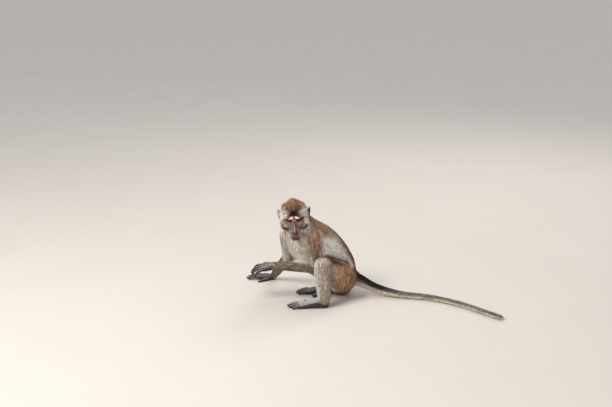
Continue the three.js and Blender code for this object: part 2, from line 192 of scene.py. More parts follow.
def along(q, line):
    """The direction of a line where it passes nearest to each point, and how far along that is."""
    last = len(line) - 1
    steps = np.linspace(0, last, 16 * last + 1)
    dense = np.stack([np.interp(steps, range(last + 1), axis) for axis in zip(*line)], 1)
    tangents = unit(np.gradient(dense, axis=0))
    nearest = np.empty(len(q), int)
    for rows in np.array_split(np.arange(len(q)), len(q) // AT_ONCE + 1):
        away = (dense**2).sum(1) - 2 * q[rows] @ dense.T
        nearest[rows] = np.argmin(away, axis=1)
    return tangents[nearest], nearest / (len(dense) - 1)


# ---- the frames
HEAD_PLACE_MM = np.array([-101.0, 30.0, 264.0])  # in the solids' working frame
HEAD_NOD, HEAD_ROLL, HEAD_YAW = 10.0, 4.5, -88.0  # degrees
EYE_RADIUS_MM, EYE_FRONT_MM, EYE_ASIDE_MM, EYE_RISE_MM = 8.2, -2.2, 11.2, 1.6
EYE_MM = np.array([EYE_FRONT_MM, EYE_ASIDE_MM, EYE_RISE_MM])  # in the head's frame


def middle_of(node):
    low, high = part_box(node)
    return np.array((low + high) / 2)


def head_turn():
    """The turn from the head's frame, with +X to the front, to the row frame."""
    turn = Matrix.Rotation(math.radians(HEAD_YAW), 3, "Z")
    turn = turn @ Matrix.Rotation(math.radians(HEAD_NOD), 3, "Y")
    return np.array(turn @ Matrix.Rotation(math.radians(HEAD_ROLL), 3, "X"))


HEAD_TURN = head_turn()
BETWEEN_EYES = (middle_of("eye_left") + middle_of("eye_right")) / 2 / MM
HEAD_ORIGIN_MM = BETWEEN_EYES - HEAD_TURN @ (EYE_FRONT_MM, 0, EYE_RISE_MM)
ROW_SHIFT_MM = HEAD_ORIGIN_MM - HEAD_PLACE_MM


def working(points):
    return points / MM - ROW_SHIFT_MM


def to_head(points):
    return (points / MM - HEAD_ORIGIN_MM) @ HEAD_TURN


def from_head(h):
    return (h @ HEAD_TURN.T + HEAD_ORIGIN_MM) * MM


# ---- the head's shape
# Each form has its middle, its radii and its softness; a pair lies on both sides.
HEAD_FORMS = {
    "braincase": ((-44, 0, 9), (45, 37, 34), 8, "single"),
    "peak of the crown": ((-46, 0, 32), (18, 12, 15), 18, "single"),
    "hair over the temples": ((-44, 24, 16), (24, 16, 17), 12, "pair"),
    "nape": ((-64, 0, -10), (30, 33, 34), 14, "single"),
    "side whiskers": ((-25, 27, -14), (24, 16, 26), 14, "pair"),
    "cheeks": ((-7, 17, -15), (18, 15, 17), 12, "pair"),
    "brow ridge": ((-2, 13, 10), (9, 17, 8), 8, "pair"),
    "root of the nose": ((3, 0, -2), (7, 6, 12), 8, "single"),
    "bridge of the nose": ((14, 0, -15), (15, 8, 10), 8, "single"),
    "muzzle": ((10, 0, -29), (23, 17.5, 14), 10, "single"),
    "nose": ((26, 0, -23.5), (7, 9, 6), 8, "single"),
    "lips": ((14, 0, -39), (18, 20.5, 9.5), 8, "single"),
    "chin": ((7, 0, -50), (17, 15.5, 9.5), 9, "single"),
    "throat": ((-24, 0, -36), (30, 28, 22), 16, "single"),
}
HEAD_HEART = np.array([-14.0, 0.0, -12.0])  # every ray from here leaves the head once
HEAD_COAT_MM = 3.2
LID_MM = 1.1
OPENING_HALF_WIDTH_MM = 7.6
OPENING_ABOVE_MM, OPENING_BELOW_MM, OPENING_RISE_MM = 2.7, 2.9, 1.0
MOUTH_MM, MOUTH_BOW = -45.5, 0.035  # the mouth's height at the middle, and how it rises aside


def ellipsoid(h, middle, radii):
    """About how far points lie outside an ellipsoid, and below zero inside it."""
    part = (h - np.array(middle)) / np.array(radii, float)
    near = np.linalg.norm(part, axis=1)
    slope = np.linalg.norm(part / np.array(radii, float), axis=1)
    return near * (near - 1) / np.maximum(slope, 1e-9)


def mirrored(h):
    """The points as if all of them lay on the head's left side."""
    return h * [1, 0, 1] + np.abs(h) * [0, 1, 0]


def blend(a, b, soft):
    """The field of both forms together, with the crease between them filled."""
    gap = np.maximum(soft - np.abs(a - b), 0) / soft
    return np.minimum(a, b) - gap * gap * soft / 4


def bare_face(h, soft=0.0):
    """1 on the bare skin of the face, falling to 0 in the hair round it; soft widens the fall."""
    x, side, z = mirrored(h).T
    front = ramp(-13, -5 + soft, x - 0.15 * side - 10 * ramp(-26, -36, z))
    under_brow = ramp(17.5, 13.5 - soft, z + 0.1 * side)
    above_chin = ramp(-8, -5 + 0.5 * soft, z - mouth_height(h))
    edge = between(25.5 + 2.5 * np.sign(h[:, 1]), 19.5, ramp(-9, -19, z))
    return front * under_brow * above_chin * ramp(edge + 2.0, edge - 1.5 - soft, side)


def on_the_eye(h):
    """Where the rays from the head's heart through these points pass the eye on their own side."""
    rays = unit(mirrored(h) - HEAD_HEART)
    to_eye = EYE_MM - HEAD_HEART
    nearest = rays @ to_eye
    missed = to_eye @ to_eye - nearest**2
    reach = nearest + np.sqrt(np.maximum((EYE_RADIUS_MM + LID_MM / 2) ** 2 - missed, 0))
    return HEAD_HEART + rays * reach[:, None]


def lid_ring(h, wider=0.0):
    """1 this far outside the edges of the lids, less within that and more beyond it."""
    place = on_the_eye(h)
    across = (place[:, 1] - EYE_ASIDE_MM) / (OPENING_HALF_WIDTH_MM + wider)
    up = place[:, 2] - EYE_RISE_MM - OPENING_RISE_MM - 0.5 * across
    reach = np.where(up > 0, OPENING_ABOVE_MM, OPENING_BELOW_MM) + wider
    return np.hypot(across, up / reach)


def eye_opening(h):
    """Below zero in the slit between the lids, in millimetres."""
    return OPENING_BELOW_MM * (lid_ring(h) - 1)


def head_field(h):
    """Below zero inside the head's skin and above zero outside it, in millimetres."""
    one_sided = mirrored(h)
    field = np.full(len(h), 1e3)
    for middle, radii, soft, sides in HEAD_FORMS.values():
        form = ellipsoid(one_sided if sides == "pair" else h, middle, radii)
        field = blend(field, form, soft)
    field += HEAD_COAT_MM * (1 - bare_face(h, soft=6.0)) + 0.3
    socket = ellipsoid(one_sided, (11, EYE_ASIDE_MM, EYE_RISE_MM + 0.5), (9, 9, 7))
    field = -blend(-field, socket, 5)
    lids = np.linalg.norm(one_sided - EYE_MM, axis=1) - EYE_RADIUS_MM - LID_MM
    field = blend(field, lids, 2.5)
    behind = EYE_FRONT_MM + 3.5 - h[:, 0]
    return np.maximum(field, -np.maximum(eye_opening(one_sided), behind))


def mouth_height(h):
    return MOUTH_MM + MOUTH_BOW * h[:, 1] ** 2


def face_relief(h):
    """How far the face's folds and edges stand out from its plain shape, in millimetres."""
    x, side, z = mirrored(h).T
    across = (side - EYE_ASIDE_MM) / OPENING_HALF_WIDTH_MM
    up = (z - EYE_RISE_MM) / 3.5
    ring = np.hypot(across, up)
    upper = ramp(-0.2, 0.6, up)
    relief = -0.6 * upper * bell(ring, 2.2, 0.25)
    relief = relief - 0.45 * (1 - upper) * (bell(ring, 1.7, 0.2) + bell(ring, 2.4, 0.25))
    muzzle = ramp(4, 10, x)
    snout = ramp(18, 25, x)
    slit = bell(side, 3.6 + 0.4 * (z + 26), 1.5) * bell(z, -26, 2.6)
    wing = bell(side, 6.8, 0.9) * bell(z, -24.5, 3.5)
    groove = bell(side, 0, 0.8) * bell(z, -33, 3.5)
    mouth = z - mouth_height(h)
    lips = 0.8 * bell(mouth, 3.2, 2.2) + 0.6 * bell(mouth, -3, 2) - 2.6 * bell(mouth, 0, 1.0)
    creases = 0.3 * bell(side - 0.5 * (z + 20), 13, 0.9) * bell(z, -26, 8)
    creases = creases + 1.3 * bell(side + 0.3 * (z + 8), 13, 3) * ramp(-3, -10, z)
    wrinkles = 0.5 * noise(h * [0.3, 0.9, 0.35], 3, 9)
    wrinkles = wrinkles * ramp(4, 9, side) * ramp(-6, -12, z)
    relief = relief + muzzle * (lips * ramp(22, 16, side) - creases + wrinkles)
    relief = relief - snout * (2.4 * slit + 0.6 * wing + 0.5 * groove)
    return relief * ramp(-4, 2, x)


SEARCH_IN_MM, SEARCH_OUT_MM = 14, 8  # how far inside and outside the given points
SEARCH_STEPS, SEARCH_HALVINGS = 30, 8


def head_surface(h):
    """Where the rays from the head's heart through these points leave its skin."""
    rays = unit(h - HEAD_HEART)
    start = np.linalg.norm(h - HEAD_HEART, axis=1)
    low, high = start - SEARCH_IN_MM, start + SEARCH_OUT_MM
    found = np.zeros(len(h), bool)

    def inside(reach):
        return head_field(HEAD_HEART + rays * reach[:, None]) < 0

    for reach in np.linspace(high, low, SEARCH_STEPS):
        within = inside(reach)
        low = np.where(within & ~found, reach, low)
        found |= within
        high = np.where(found, high, reach)
    for _ in range(SEARCH_HALVINGS):
        reach = (low + high) / 2
        within = inside(reach)
        low = np.where(within, reach, low)
        high = np.where(within, high, reach)
    surface = HEAD_HEART + rays * low[:, None]
    return surface + rays * face_relief(surface)[:, None]


# ---- mesh tools
def numbers(items, field, width=1, kind=np.float64):
    """A field of a mesh's vertices, edges or faces, as an array."""
    values = np.empty(len(items) * width, np.float32 if kind is np.float64 else np.int32)
    items.foreach_get(field, values)
    values = values.astype(kind)
    return values.reshape(-1, width) if width > 1 else values


def fill(items, field, values, kind=np.float32):
    """Sets a field of a mesh's vertices, edges, corners or faces from an array."""
    items.foreach_set(field, np.asarray(values, kind).ravel())


def corners_of(mesh):
    return numbers(mesh.loops, "vertex_index", 1, np.int64)


def add_object(name, data):
    piece = bpy.data.objects.new(name, data)
    bpy.context.scene.collection.objects.link(piece)
    return piece


def applied(piece):
    """A new mesh of the object with its modifiers applied; the object is removed."""
    evaluated = piece.evaluated_get(bpy.context.evaluated_depsgraph_get())
    mesh = bpy.data.meshes.new_from_object(evaluated)
    bpy.data.objects.remove(piece)
    return mesh


def mesh_of(name, points, faces):
    """A smooth mesh of points and of faces given as arrays with one row per face."""
    mesh = bpy.data.meshes.new(name)
    corners = np.concatenate([rows.ravel() for rows in faces])
    sizes = np.concatenate([np.full(len(rows), rows.shape[1]) for rows in faces])
    mesh.vertices.add(len(points))
    fill(mesh.vertices, "co", points)
    mesh.loops.add(len(corners))
    fill(mesh.loops, "vertex_index", corners, np.int32)
    mesh.polygons.add(len(sizes))
    fill(mesh.polygons, "loop_start", np.cumsum(sizes) - sizes, np.int32)
    mesh.update(calc_edges=True)
    mesh.shade_smooth()
    return mesh


def paint(mesh, name, colours):
    """Stores a colour of linear light at each point of the mesh."""
    layer = mesh.color_attributes.new(name, "FLOAT_COLOR", "POINT")
    rows = np.ones((len(colours), 4), np.float32)
    rows[:, :3] = np.clip(colours, 0, 1)
    fill(layer.data, "color", rows)


class Surface:
    """A mesh's points with what lies beside what, for averaging over it."""

    def __init__(self, mesh):
        self.mesh = mesh
        self.points = numbers(mesh.vertices, "co", 3)
        edges = numbers(mesh.edges, "vertices", 2, np.int64)
        both = np.concatenate([edges, edges[:, ::-1]])
        both = both[np.argsort(both[:, 0], kind="stable")]
        self.beside = both[:, 1]
        self.first = np.searchsorted(both[:, 0], np.arange(len(self.points)))
        self.count = np.bincount(both[:, 0], minlength=len(self.points))

    def spread(self, values, rounds, share=1.0):
        """The values after each has moved towards the mean of those beside it, many times."""
        count = self.count if values.ndim == 1 else self.count[:, None]
        for _ in range(rounds):
            mean = np.add.reduceat(values[self.beside], self.first, axis=0) / count
            values = values + share * (mean - values)
        return values

    def move(self, points):
        self.points = points
        fill(self.mesh.vertices, "co", points)
        self.mesh.update()

    def normals(self):
        return unit(numbers(self.mesh.vertices, "normal", 3))

    def areas(self):
        """Each point's share of the surface, in square millimetres."""
        faces = self.mesh.polygons
        sizes = numbers(faces, "loop_total", 1, np.int64)
        per_corner = np.repeat(numbers(faces, "area") / sizes / MM**2, sizes)
        return np.bincount(corners_of(self.mesh), per_corner, len(self.points))


# ---- the skin's shape
VOXEL_MM = 1.25
WELD_MM = 0.01
GROW_MM = 0.35  # closes the gaps between the solids
BODY_ROUNDS, SHARE_ROUNDS, DEPTH_ROUNDS = 80, 24, 3  # of averaging over the skin
SOLE_GAP_MM = 0.2  # between the floor and the lowest skin
FACE_BOX_MM = ((-10, -34, -62), (60, 34, 24))
EYES_BOX_MM = ((-6, -24, -9), (30, 24, 10))


def joined_solids():
    """The solids grown by a little: their points, faces, and each face's region."""
    points, faces, owners = [], [], []
    for node in sorted(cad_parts):
        solid = bmesh.new()
        solid.from_mesh(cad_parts[node].data)
        bmesh.ops.remove_doubles(solid, verts=solid.verts, dist=WELD_MM * MM)
        solid.normal_update()
        solid.verts.index_update()
        first = len(points)
        points += [v.co + v.normal * GROW_MM * MM for v in solid.verts]
        faces += [[first + v.index for v in face.verts] for face in solid.faces]
        region = "head" if node in EYES else region_of(node)
        owners += [COLUMN[region]] * len(solid.faces)
        solid.free()
    return points, faces, owners


def voxel_union(points, faces):
    mesh = bpy.data.meshes.new("solids")
    mesh.from_pydata(points, [], faces)
    piece = add_object("solids", mesh)
    remesh = piece.modifiers.new("union", "REMESH")
    remesh.mode = "VOXEL"
    remesh.voxel_size = VOXEL_MM * MM
    return applied(piece)


LABEL_ROUNDS = 12  # enough to number a small shell throughout, and not the body


def loose_bits(mesh):
    """The points of small closed shells, such as hollows shut inside the body."""
    surface = Surface(mesh)
    label = np.arange(len(surface.points))
    for _ in range(LABEL_ROUNDS):
        lowest = np.minimum.reduceat(label[surface.beside], surface.first)
        label = np.minimum(label, lowest)
        label = label[label]
    highest = np.maximum.reduceat(label[surface.beside], surface.first)
    lowest = np.minimum.reduceat(label[surface.beside], surface.first)
    closed = np.bincount(label, highest != lowest, len(label)) == 0
    return closed[label]


def in_box(h, box):
    low, high = box
    return np.all((h > low) & (h < high), axis=1)


def refined(mesh):
    """The mesh without its loose bits, and finer on the face and finer still round the eyes."""
    work = bmesh.new()
    work.from_mesh(mesh)
    loose = loose_bits(mesh)
    bmesh.ops.delete(work, geom=[v for v in work.verts if loose[v.index]], context="VERTS")
    for box in (FACE_BOX_MM, EYES_BOX_MM):
        work.verts.index_update()
        places = to_head(np.array([v.co for v in work.verts]))
        chosen = in_box(places, box)
        edges = [e for e in work.edges if chosen[e.verts[0].index] and chosen[e.verts[1].index]]
        bmesh.ops.subdivide_edges(work, edges=edges, cuts=1, use_grid_fill=True)
    work.to_mesh(mesh)
    work.free()
    return mesh


def body_skin():
    """The skin's surface, and how much each of its points belongs to each region."""
    points, faces, owners = joined_solids()
    skin = Surface(refined(voxel_union(points, faces)))
    solids = BVHTree.FromPolygons(points, faces)
    owner = [owners[solids.find_nearest(point)[2]] for point in skin.points]
    share = np.eye(len(NAMES), dtype=np.float32)[owner]
    share = skin.spread(share, SHARE_ROUNDS)
    trunk = part_of(share, *TRUNK_PARTS)
    fold = np.clip(4 * trunk * part_of(share, "thigh"), 0, 1)
    smooth = share @ SMOOTH * (1 - 0.85 * fold)
    outside = skin.spread(skin.points, BODY_ROUNDS, smooth[:, None])
    skin.move(outside)
    head = part_of(share, "head")
    depth = share @ DEPTH + HEAD_COAT_MM * head
    inset = outside - skin.spread(skin.normals(), DEPTH_ROUNDS) * (depth * MM)[:, None]
    on_head = ramp(0.5, 0.95, head)
    chosen = on_head > 0
    face = from_head(head_surface(to_head(outside[chosen])))
    inset[chosen] = mix(inset[chosen], face, on_head[chosen])
    inset[:, 2] = np.maximum(inset[:, 2], SOLE_GAP_MM * MM)
    skin.move(inset)
    return skin, share


# ---- the lie of the coat
STREAK_STEP_MM = 2.5
STREAK_ROUNDS = 36
STREAK_STRENGTH = {  # of each region, where it is not the usual one
    "chest": 0.15, "neck": 0.15, "tail": 0.12, "thigh": 0.21, "head": 0.3, "shank": 0.13,
}
USUAL_STREAK_STRENGTH = 0.19
LIE_ROUNDS = 12  # of averaging the lie over the skin


def lie_on_head(h):
    """Hair sweeps back and up to the crown's point, and back and down on the cheeks and nape."""
    x, y, z = h.T
    side = np.sign(y) * ramp(0, 6, np.abs(y))

    def sweep(back, aside, up):
        return np.stack([np.full(len(h), back), aside * side, np.full(len(h), up)], 1)

    cheek, crown, nape = sweep(-0.65, 0.75, -0.5), sweep(-0.5, -0.2, 0.8), sweep(-0.35, 0, -0.9)
    lie = mix(cheek, crown, ramp(0, 22, z))
    return unit(mix(lie, nape, ramp(52, 66, -x)))


def lie_of_coat(skin, share, normals):
    """The direction in which the hair points, at each point of the skin."""
    q = working(skin.points)
    split = np.where(part_of(share, "upper_arm") > 0.3, ARM_SPLIT_MM, LEG_SPLIT_MM)
    left = (q[:, 1] < split)[:, None]
    down = np.array([0.0, 0.0, -1.0])
    trunk = along(q, TRUNK_LINE)[0]
    ventral = ramp(0.1, 0.7, -normals @ OUT_OF_BACK)[:, None]
    trunk = unit(trunk * (1 - 0.6 * ventral) + down * 0.6 * ventral)
    flank = (ramp(0.3, 0.8, np.abs(normals[:, 1])) * ramp(-60, -20, q[:, 0]))[:, None]
    trunk = unit(trunk * (1 - 0.6 * flank) + np.array([1.0, 0.0, -0.3]) * 0.6 * flank)
    tail = along(q, TAIL_LINE)[0]

    def limb(start, end):
        lines = {s: np.subtract(JOINT[s][end], JOINT[s][start]) for s in JOINT}
        return unit(np.where(left, lines["left"], lines["right"]).astype(float))

    def forward(part):
        return unit(np.where(left, FORWARD[part]["left"], FORWARD[part]["right"]).astype(float))

    lies = {
        "head": lie_on_head(to_head(skin.points)) @ HEAD_TURN.T,
        "ear": np.tile(HEAD_TURN @ np.array([-0.5, 0.0, 0.85]), (len(q), 1)),
        "rump": unit(trunk + 0.5 * tail),
        "tail": tail,
        "upper_arm": limb("shoulder", "elbow"),
        "forearm": unit(limb("elbow", "wrist") + 0.6 * down),
        "thigh": unit(0.3 * limb("hip", "knee") + np.array([0.3, 0.0, -1.0])),
        "shank": limb("knee", "ankle"),
    }
    lies["hand"] = lies["finger"] = forward("hand")
    lies["foot"] = lies["toe"] = forward("foot")
    lie = sum(lies.get(name, trunk) * share[:, COLUMN[name], None] for name in NAMES)
    lie = flat_on(lie, normals)
    return flat_on(skin.spread(lie, LIE_ROUNDS), normals)


def tree_of(points):
    tree = KDTree(len(points))
    for number, point in enumerate(points):
        tree.insert(point, number)
    tree.balance()
    return tree


def streaks_in(skin, lie):
    """Long light and dark streaks that follow the coat's lie, mostly between -2 and 2."""
    tree = tree_of(skin.points)
    step = lie * STREAK_STEP_MM * MM
    ahead, behind = (
        np.array([tree.find(point)[1] for point in skin.points + way * step]) for way in (1, -1)
    )
    q = working(skin.points)
    value = noise(q, 3.2, 6) + 0.4 * noise(q, 6, 7)
    for _ in range(STREAK_ROUNDS):
        value = (value + value[ahead] + value[behind]) / 3
    value = value + 0.35 * skin.spread(noise(q, 3, 8), 1)
    return (value - value.mean()) / value.std()


# ---- colours of the coat and skin, with painted light and shade
CROWN, CROWN_STREAK, BROW = linear((152, 104, 56), (62, 42, 27), (14, 11, 12))
CROWN_SIDE, TEMPLE, CHEEK = linear((204, 160, 116), (212, 205, 197), (214, 200, 187))
WHISKER, CHIN = linear((78, 44, 20), (112, 58, 22))
NAPE, BACK, BACK_EDGE = linear((160, 116, 76), (170, 140, 109), (94, 66, 42))
FLANK, FLANK_LOW, CHEST = linear((231, 215, 200), (223, 216, 207), (255, 238, 220))
THROAT, SHOULDER, UPPER_ARM = linear((255, 236, 214), (176, 136, 102), (168, 138, 114))
# The fold's colour is painted shade, for the crease where the flank hangs over the left thigh.
FOREARM, HAUNCH, FOLD_SHADE = linear((131, 113, 96), (194, 152, 112), (84, 42, 16))
# The shank's front colour is a painted highlight, for the side that faces the key lamp.
SHANK, SHANK_HIGHLIGHT, INNER_LEG = linear((184, 170, 155), (234, 230, 222), (176, 134, 96))
TAIL_TOP, TAIL_BELOW, TAIL_ROOT = linear((134, 128, 122), (228, 204, 176), (20, 15, 12))
# On the next line, the rump rim colour is painted shade and the low fur colour is a painted warm
# reflection from the ground.
RUMP_SHADE, GROUND_REFLECTION, SEAT = linear((104, 62, 34), (146, 84, 40), (120, 90, 80))
BARE, MUZZLE, EYELID = linear((118, 88, 78), (98, 78, 73), (224, 196, 197))
EYE_CORNER, EYE_LINE, LID_EDGE = linear((108, 58, 36), (10, 6, 5), (214, 160, 150))
# The nose's ridge colour is a painted highlight and its side colour is painted shade.
BROW_LINE, NOSE_HIGHLIGHT, NOSE_SHADE = linear((78, 16, 12), (218, 200, 206), (74, 36, 32))
LIPS, MUZZLE_HAIR = linear((112, 45, 14), (170, 148, 138))
# The dark ear colour is painted shade, in the ears' hollows and before the left ear.
EAR_SKIN, EAR_EDGE, EAR_SHADE = linear((196, 168, 150), (150, 116, 98), (58, 32, 28))
# The pale paw colour is a painted highlight on the tops of the hands and feet.
PAW, PAW_HIGHLIGHT = linear((56, 51, 51), (182, 177, 176))
# The nostrils' colour is painted shade, darker than the lips.
NOSTRIL_SHADE = LIPS * 0.3
NEAR_THIGH_ROUNDS, NEAR_HEAD_ROUNDS = 60, 90  # of spreading what lies close to them


def markings_and_painted_light(skin, share, normals, streak):
    """The colours of the coat and of the bare skin, painted light and shade among them, at each
    point of the skin.
    """
    q = working(skin.points)
    h = to_head(skin.points)
    rough = noise(q, 22, 1)
    near = {
        "thigh": skin.spread(part_of(share, "thigh"), NEAR_THIGH_ROUNDS),
        "head": skin.spread(part_of(share, "head", "neck"), NEAR_HEAD_ROUNDS),
    }
    coat = coat_colour(q, h, share, normals, streak, rough, near)
    return coat, bare_colour(q, h, share, normals, coat, rough)


def coat_colour(q, h, share, normals, streak, rough, near):
    """Each region's colours, some with painted light and shade, mixed by the regions' shares and
    streaked along the hair.
    """
    tone = 0.3 * streak + 0.5 * rough
    left = q[:, 1] < ARM_SPLIT_MM
    outward = np.where(q[:, 1] < TRUNK_SPLIT_MM, -normals[:, 1], normals[:, 1])
    brown = shoulder_brown(q, normals, tone, rough, left)
    dorsal = normals @ OUT_OF_BACK + 0.03 * tone
    trunk = trunk_colour(q, h, share, tone, near, dorsal, outward, left, brown)
    # Painted shade on the rump's low rear faces, away from the key lamp.
    rim = ramp(132, 96, q[:, 2]) * ramp(56, 74, q[:, 0]) * ramp(0.2, 0.7, dorsal)
    # Painted highlight on the up-facing tops of the hands and feet, half as strong on the far side.
    pale = ramp(0.4, 1.0, normals[:, 2] + 0.1 * tone) * (1 - 0.6 * part_of(share, *DARK_PAWS))
    paw = mix(PAW, PAW_HIGHLIGHT, pale * np.where(left, 1.0, 0.5))
    parts = {
        "head": head_colour(h, tone),
        # Painted shade on the coat of the left ear, which is turned from the key lamp.
        "ear": mix(EAR_EDGE, EAR_SHADE, 0.7 * (h[:, 1] > 0)),
        "rump": mix(trunk, RUMP_SHADE, rim),
        "tail": tail_colour(q, normals[:, 2], tone),
        **arm_colours(q, normals, tone, left, brown),
        **leg_colours(q, normals, tone, outward),
        **dict.fromkeys(PAWS, paw),
    }
    colour = sum(parts.get(name, trunk) * share[:, COLUMN[name], None] for name in NAMES)
    strengths = [STREAK_STRENGTH.get(name, USUAL_STREAK_STRENGTH) for name in NAMES]
    return colour * np.exp(share @ np.array(strengths) * streak)[:, None]


def shoulder_brown(q, normals, tone, rough, left):
    """How much of each point lies in the brown band down the outside of the shoulder."""
    x, _, z = q.T
    line = np.where(left, JOINT["left"]["shoulder"][0] + 8, JOINT["right"]["shoulder"][0] + 22)
    brown = bell(x, line + 4 * rough, 14) * ramp(150, 200, z) * ramp(255, 235, z)
    return brown * np.clip(0.8 + 0.25 * tone, 0, 1) * ramp(-0.7, -0.1, normals[:, 0])


def trunk_colour(q, h, share, tone, near, dorsal, outward, left, brown):
    """Brown back, pale flank and chest; painted shade in the fold over the left thigh, the back's
    brown on the far flank partly as painted shade, painted light behind the arm, and a painted warm
    ground reflection low down.
    """
    x, y, z = q.T
    flank = mix(FLANK, FLANK_LOW, ramp(178, 128, z - 0.25 * x + 8 * tone))
    # Painted shade on the flank's lowest fur where it hangs over the thigh, and along the crease on
    # the left side.
    shade_under_flank = ramp(0.02, 0.14, near["thigh"]) * ramp(0.0, 0.5, outward)
    shade_under_flank = shade_under_flank * ramp(80, 110, z) * ramp(48, 20, x)
    crease = bell(z - 142 + 0.42 * x, 0, 8) * ramp(-28, -14, x) * ramp(70, 44, x)
    crease = crease * left * ramp(0.0, 0.5, outward)
    trunk = layered(
        flank,
        # The back's brown reaches partly over the far flank: a marking, and also painted shade on
        # the side that the rim lamp lights.
        (BACK, 0.45 * ramp(105, 130, y)),
        (BACK, ramp(0.72, 0.96, dorsal + 0.12 * ramp(190, 235, z))),
        (BACK_EDGE, ramp(0.92, 1.0, dorsal)),
        (CHEST, ramp(0.1, -0.4, dorsal)),
        (THROAT, part_of(share, "neck") * ramp(-0.2, -0.6, dorsal)),
        (NAPE, 0.8 * ramp(0.03, 0.6, near["head"]) * ramp(-34, -62, h[:, 0])),
        (SHOULDER, brown * ramp(-0.5, 0.1, dorsal)),
        (FOLD_SHADE, np.maximum(shade_under_flank, crease)),
    )
    # Painted light: the flank is made lighter behind and below the arm, where the arm's shade falls.
    armpit_light = bell(x, -4, 20) * ramp(205, 175, z) * ramp(0.0, 0.5, outward)
    # The lowest fur is painted a darker, warmer brown, as warm light reflected from the ground.
    return mix(trunk * (1 + 0.25 * armpit_light[:, None]), GROUND_REFLECTION, ramp(36, 14, z))


def tail_colour(q, upward, tone):
    """Grey above, paler below, and black on top towards the root."""
    _, down_tail = along(q, TAIL_LINE)
    tail = mix(TAIL_BELOW, TAIL_TOP, ramp(-0.2, 0.5, upward + 0.2 * tone))
    return mix(tail, TAIL_ROOT, ramp(0.55, 0.3, down_tail) * ramp(0.0, 0.5, upward + 0.1 * tone))


def arm_colours(q, normals, tone, left, brown):
    """Pale inside, brown outside and pale again behind; the forearms turn grey."""
    x = q[:, 0]
    outer = ramp(-0.9, 0.0, normals[:, 0] + 0.2 * tone - np.where(left, 0.0, 0.5))
    outer = np.maximum(outer, (1 - left) * ramp(0.1, 0.7, normals[:, 1]))
    behind = ramp(6, 24, x - np.where(left, -42, -114) + 6 * tone)
    grey = ramp(-5, -40, x) * ramp(-1.0, -0.3, normals[:, 2])
    return {
        "upper_arm": layered(CHEST, (UPPER_ARM, outer), (SHOULDER, brown), (FLANK, behind)),
        "forearm": mix(UPPER_ARM, FOREARM, grey),
    }


def leg_colours(q, normals, tone, outward):
    """Tawny haunches with painted shade on top under the flank and on their rear faces, and a
    painted warm ground reflection low down; grey shanks with a painted highlight in front and
    painted shade behind, darker towards the bottom.
    """
    x, _, z = q.T
    rearward, _, upward = normals.T
    haunch = layered(
        INNER_LEG,
        (HAUNCH, ramp(-0.5, 0.1, outward)),
        (SHANK, ramp(28, 4, x + 14 * tone) * ramp(-0.4, 0.2, outward)),
        # Painted shade on the haunch's rear faces, away from the key lamp.
        (RUMP_SHADE, 0.6 * ramp(0.6, 0.95, rearward + 0.1 * tone)),
        # Painted shade on the top of the thigh, under the overhanging flank.
        (FOLD_SHADE, ramp(0.62, 0.92, upward + 0.12 * tone) * ramp(-20, 2, x)),
        # Painted warm reflection from the ground on the haunch near the floor.
        (GROUND_REFLECTION, ramp(48, 10, z)),
    )
    shank = layered(
        SHANK,
        # Painted highlight on the shank's front and painted shade on its rear faces; the shank is
        # also darker towards the bottom.
        (SHANK_HIGHLIGHT, ramp(0.35, 0.85, -rearward)),
        (UPPER_ARM, 0.7 * ramp(0.3, 0.9, rearward + 0.2 * tone)),
        (UPPER_ARM, 0.6 * ramp(70, 20, z) * ramp(0.9, 0.2, -rearward)),
    )
    return {"thigh": haunch, "shank": shank}


def head_colour(h, tone):
    """Golden crown streaked with brown, a black brow, and whitish temples and cheeks, with painted
    shadow before the left ear, painted shade on the right side that the key lamp lights, and painted
    light and shade on the right cheek.
    """
    x, y, z = h.T
    side = np.abs(y)
    fan = 0.8 * bell(side, 7, 4) + np.where(y > 0, 0.9, 0.3) * bell(side, 18, 5)
    fan = fan * ramp(42, 26, z) * ramp(-44, -24, x)
    temple = ramp(13, 19, side + 2 * tone) * ramp(25, 17, z + 3 * tone)
    brow = ramp(12, 16, z) * ramp(29, 22, z + 3 * tone)
    brow = brow * ramp(15, 10, side + 0.9 * np.maximum(z - 15, 0) + 2 * tone)
    whisker = bell(z + 21 - 0.2 * (side - 26), 0, 5) * ramp(17, 22, side)
    whisker = 1.4 * whisker * ramp(36, 31, side) * ramp(-40, -20, x)
    # Painted shadow on the hair in front of the left ear.
    shadow_before_ear = ramp(34, 40, y) * bell(z, -6, 9) * bell(x, -36, 12)
    head = layered(
        CROWN,
        (CROWN_SIDE, ramp(-10, -30, y + 4 * tone)),
        (CROWN_STREAK, ramp(0.1, 0.9, 1.1 * tone + fan)),
        (TEMPLE, temple * ramp(-72, -40, x)),
        (CHEEK, ramp(6, -12, z) * ramp(-80, -45, x)),
        (NAPE, ramp(-48, -66, x)),
        (BROW, brow * ramp(-34, -18, x)),
        (EYE_CORNER, 0.9 * eye_corner(h) * ramp(-24, -14, x)),
        (WHISKER, np.minimum(whisker, 1)),
        (CHIN, ramp(-48, -52, z) * ramp(22, 12, side) * ramp(-10, 0, x)),
        (EAR_SHADE, 0.7 * shadow_before_ear),
    )
    # Painted shade on the head's right side below the crown, where the key lamp falls; on that
    # cheek, painted light in the half shade under the temple and painted shade on the bulge that
    # catches the lamp.
    key_side_shade = 0.14 * ramp(-8, -26, y) * ramp(22, 14, z)  # toned down below the crown
    cheek_light_and_shade = 0.25 * bell(y, -31, 8) * bell(z, -3, 5) - 0.42 * bell(y, -27, 8) * bell(z, -14, 5)
    head = head * (1 - key_side_shade + cheek_light_and_shade)[:, None]
    fringe = mix(MUZZLE_HAIR, TEMPLE, 0.6 * ramp(12, 17, side) * ramp(-26, -32, z))
    return mix(head, fringe, bare_face(h) * ramp(3, -3, z))


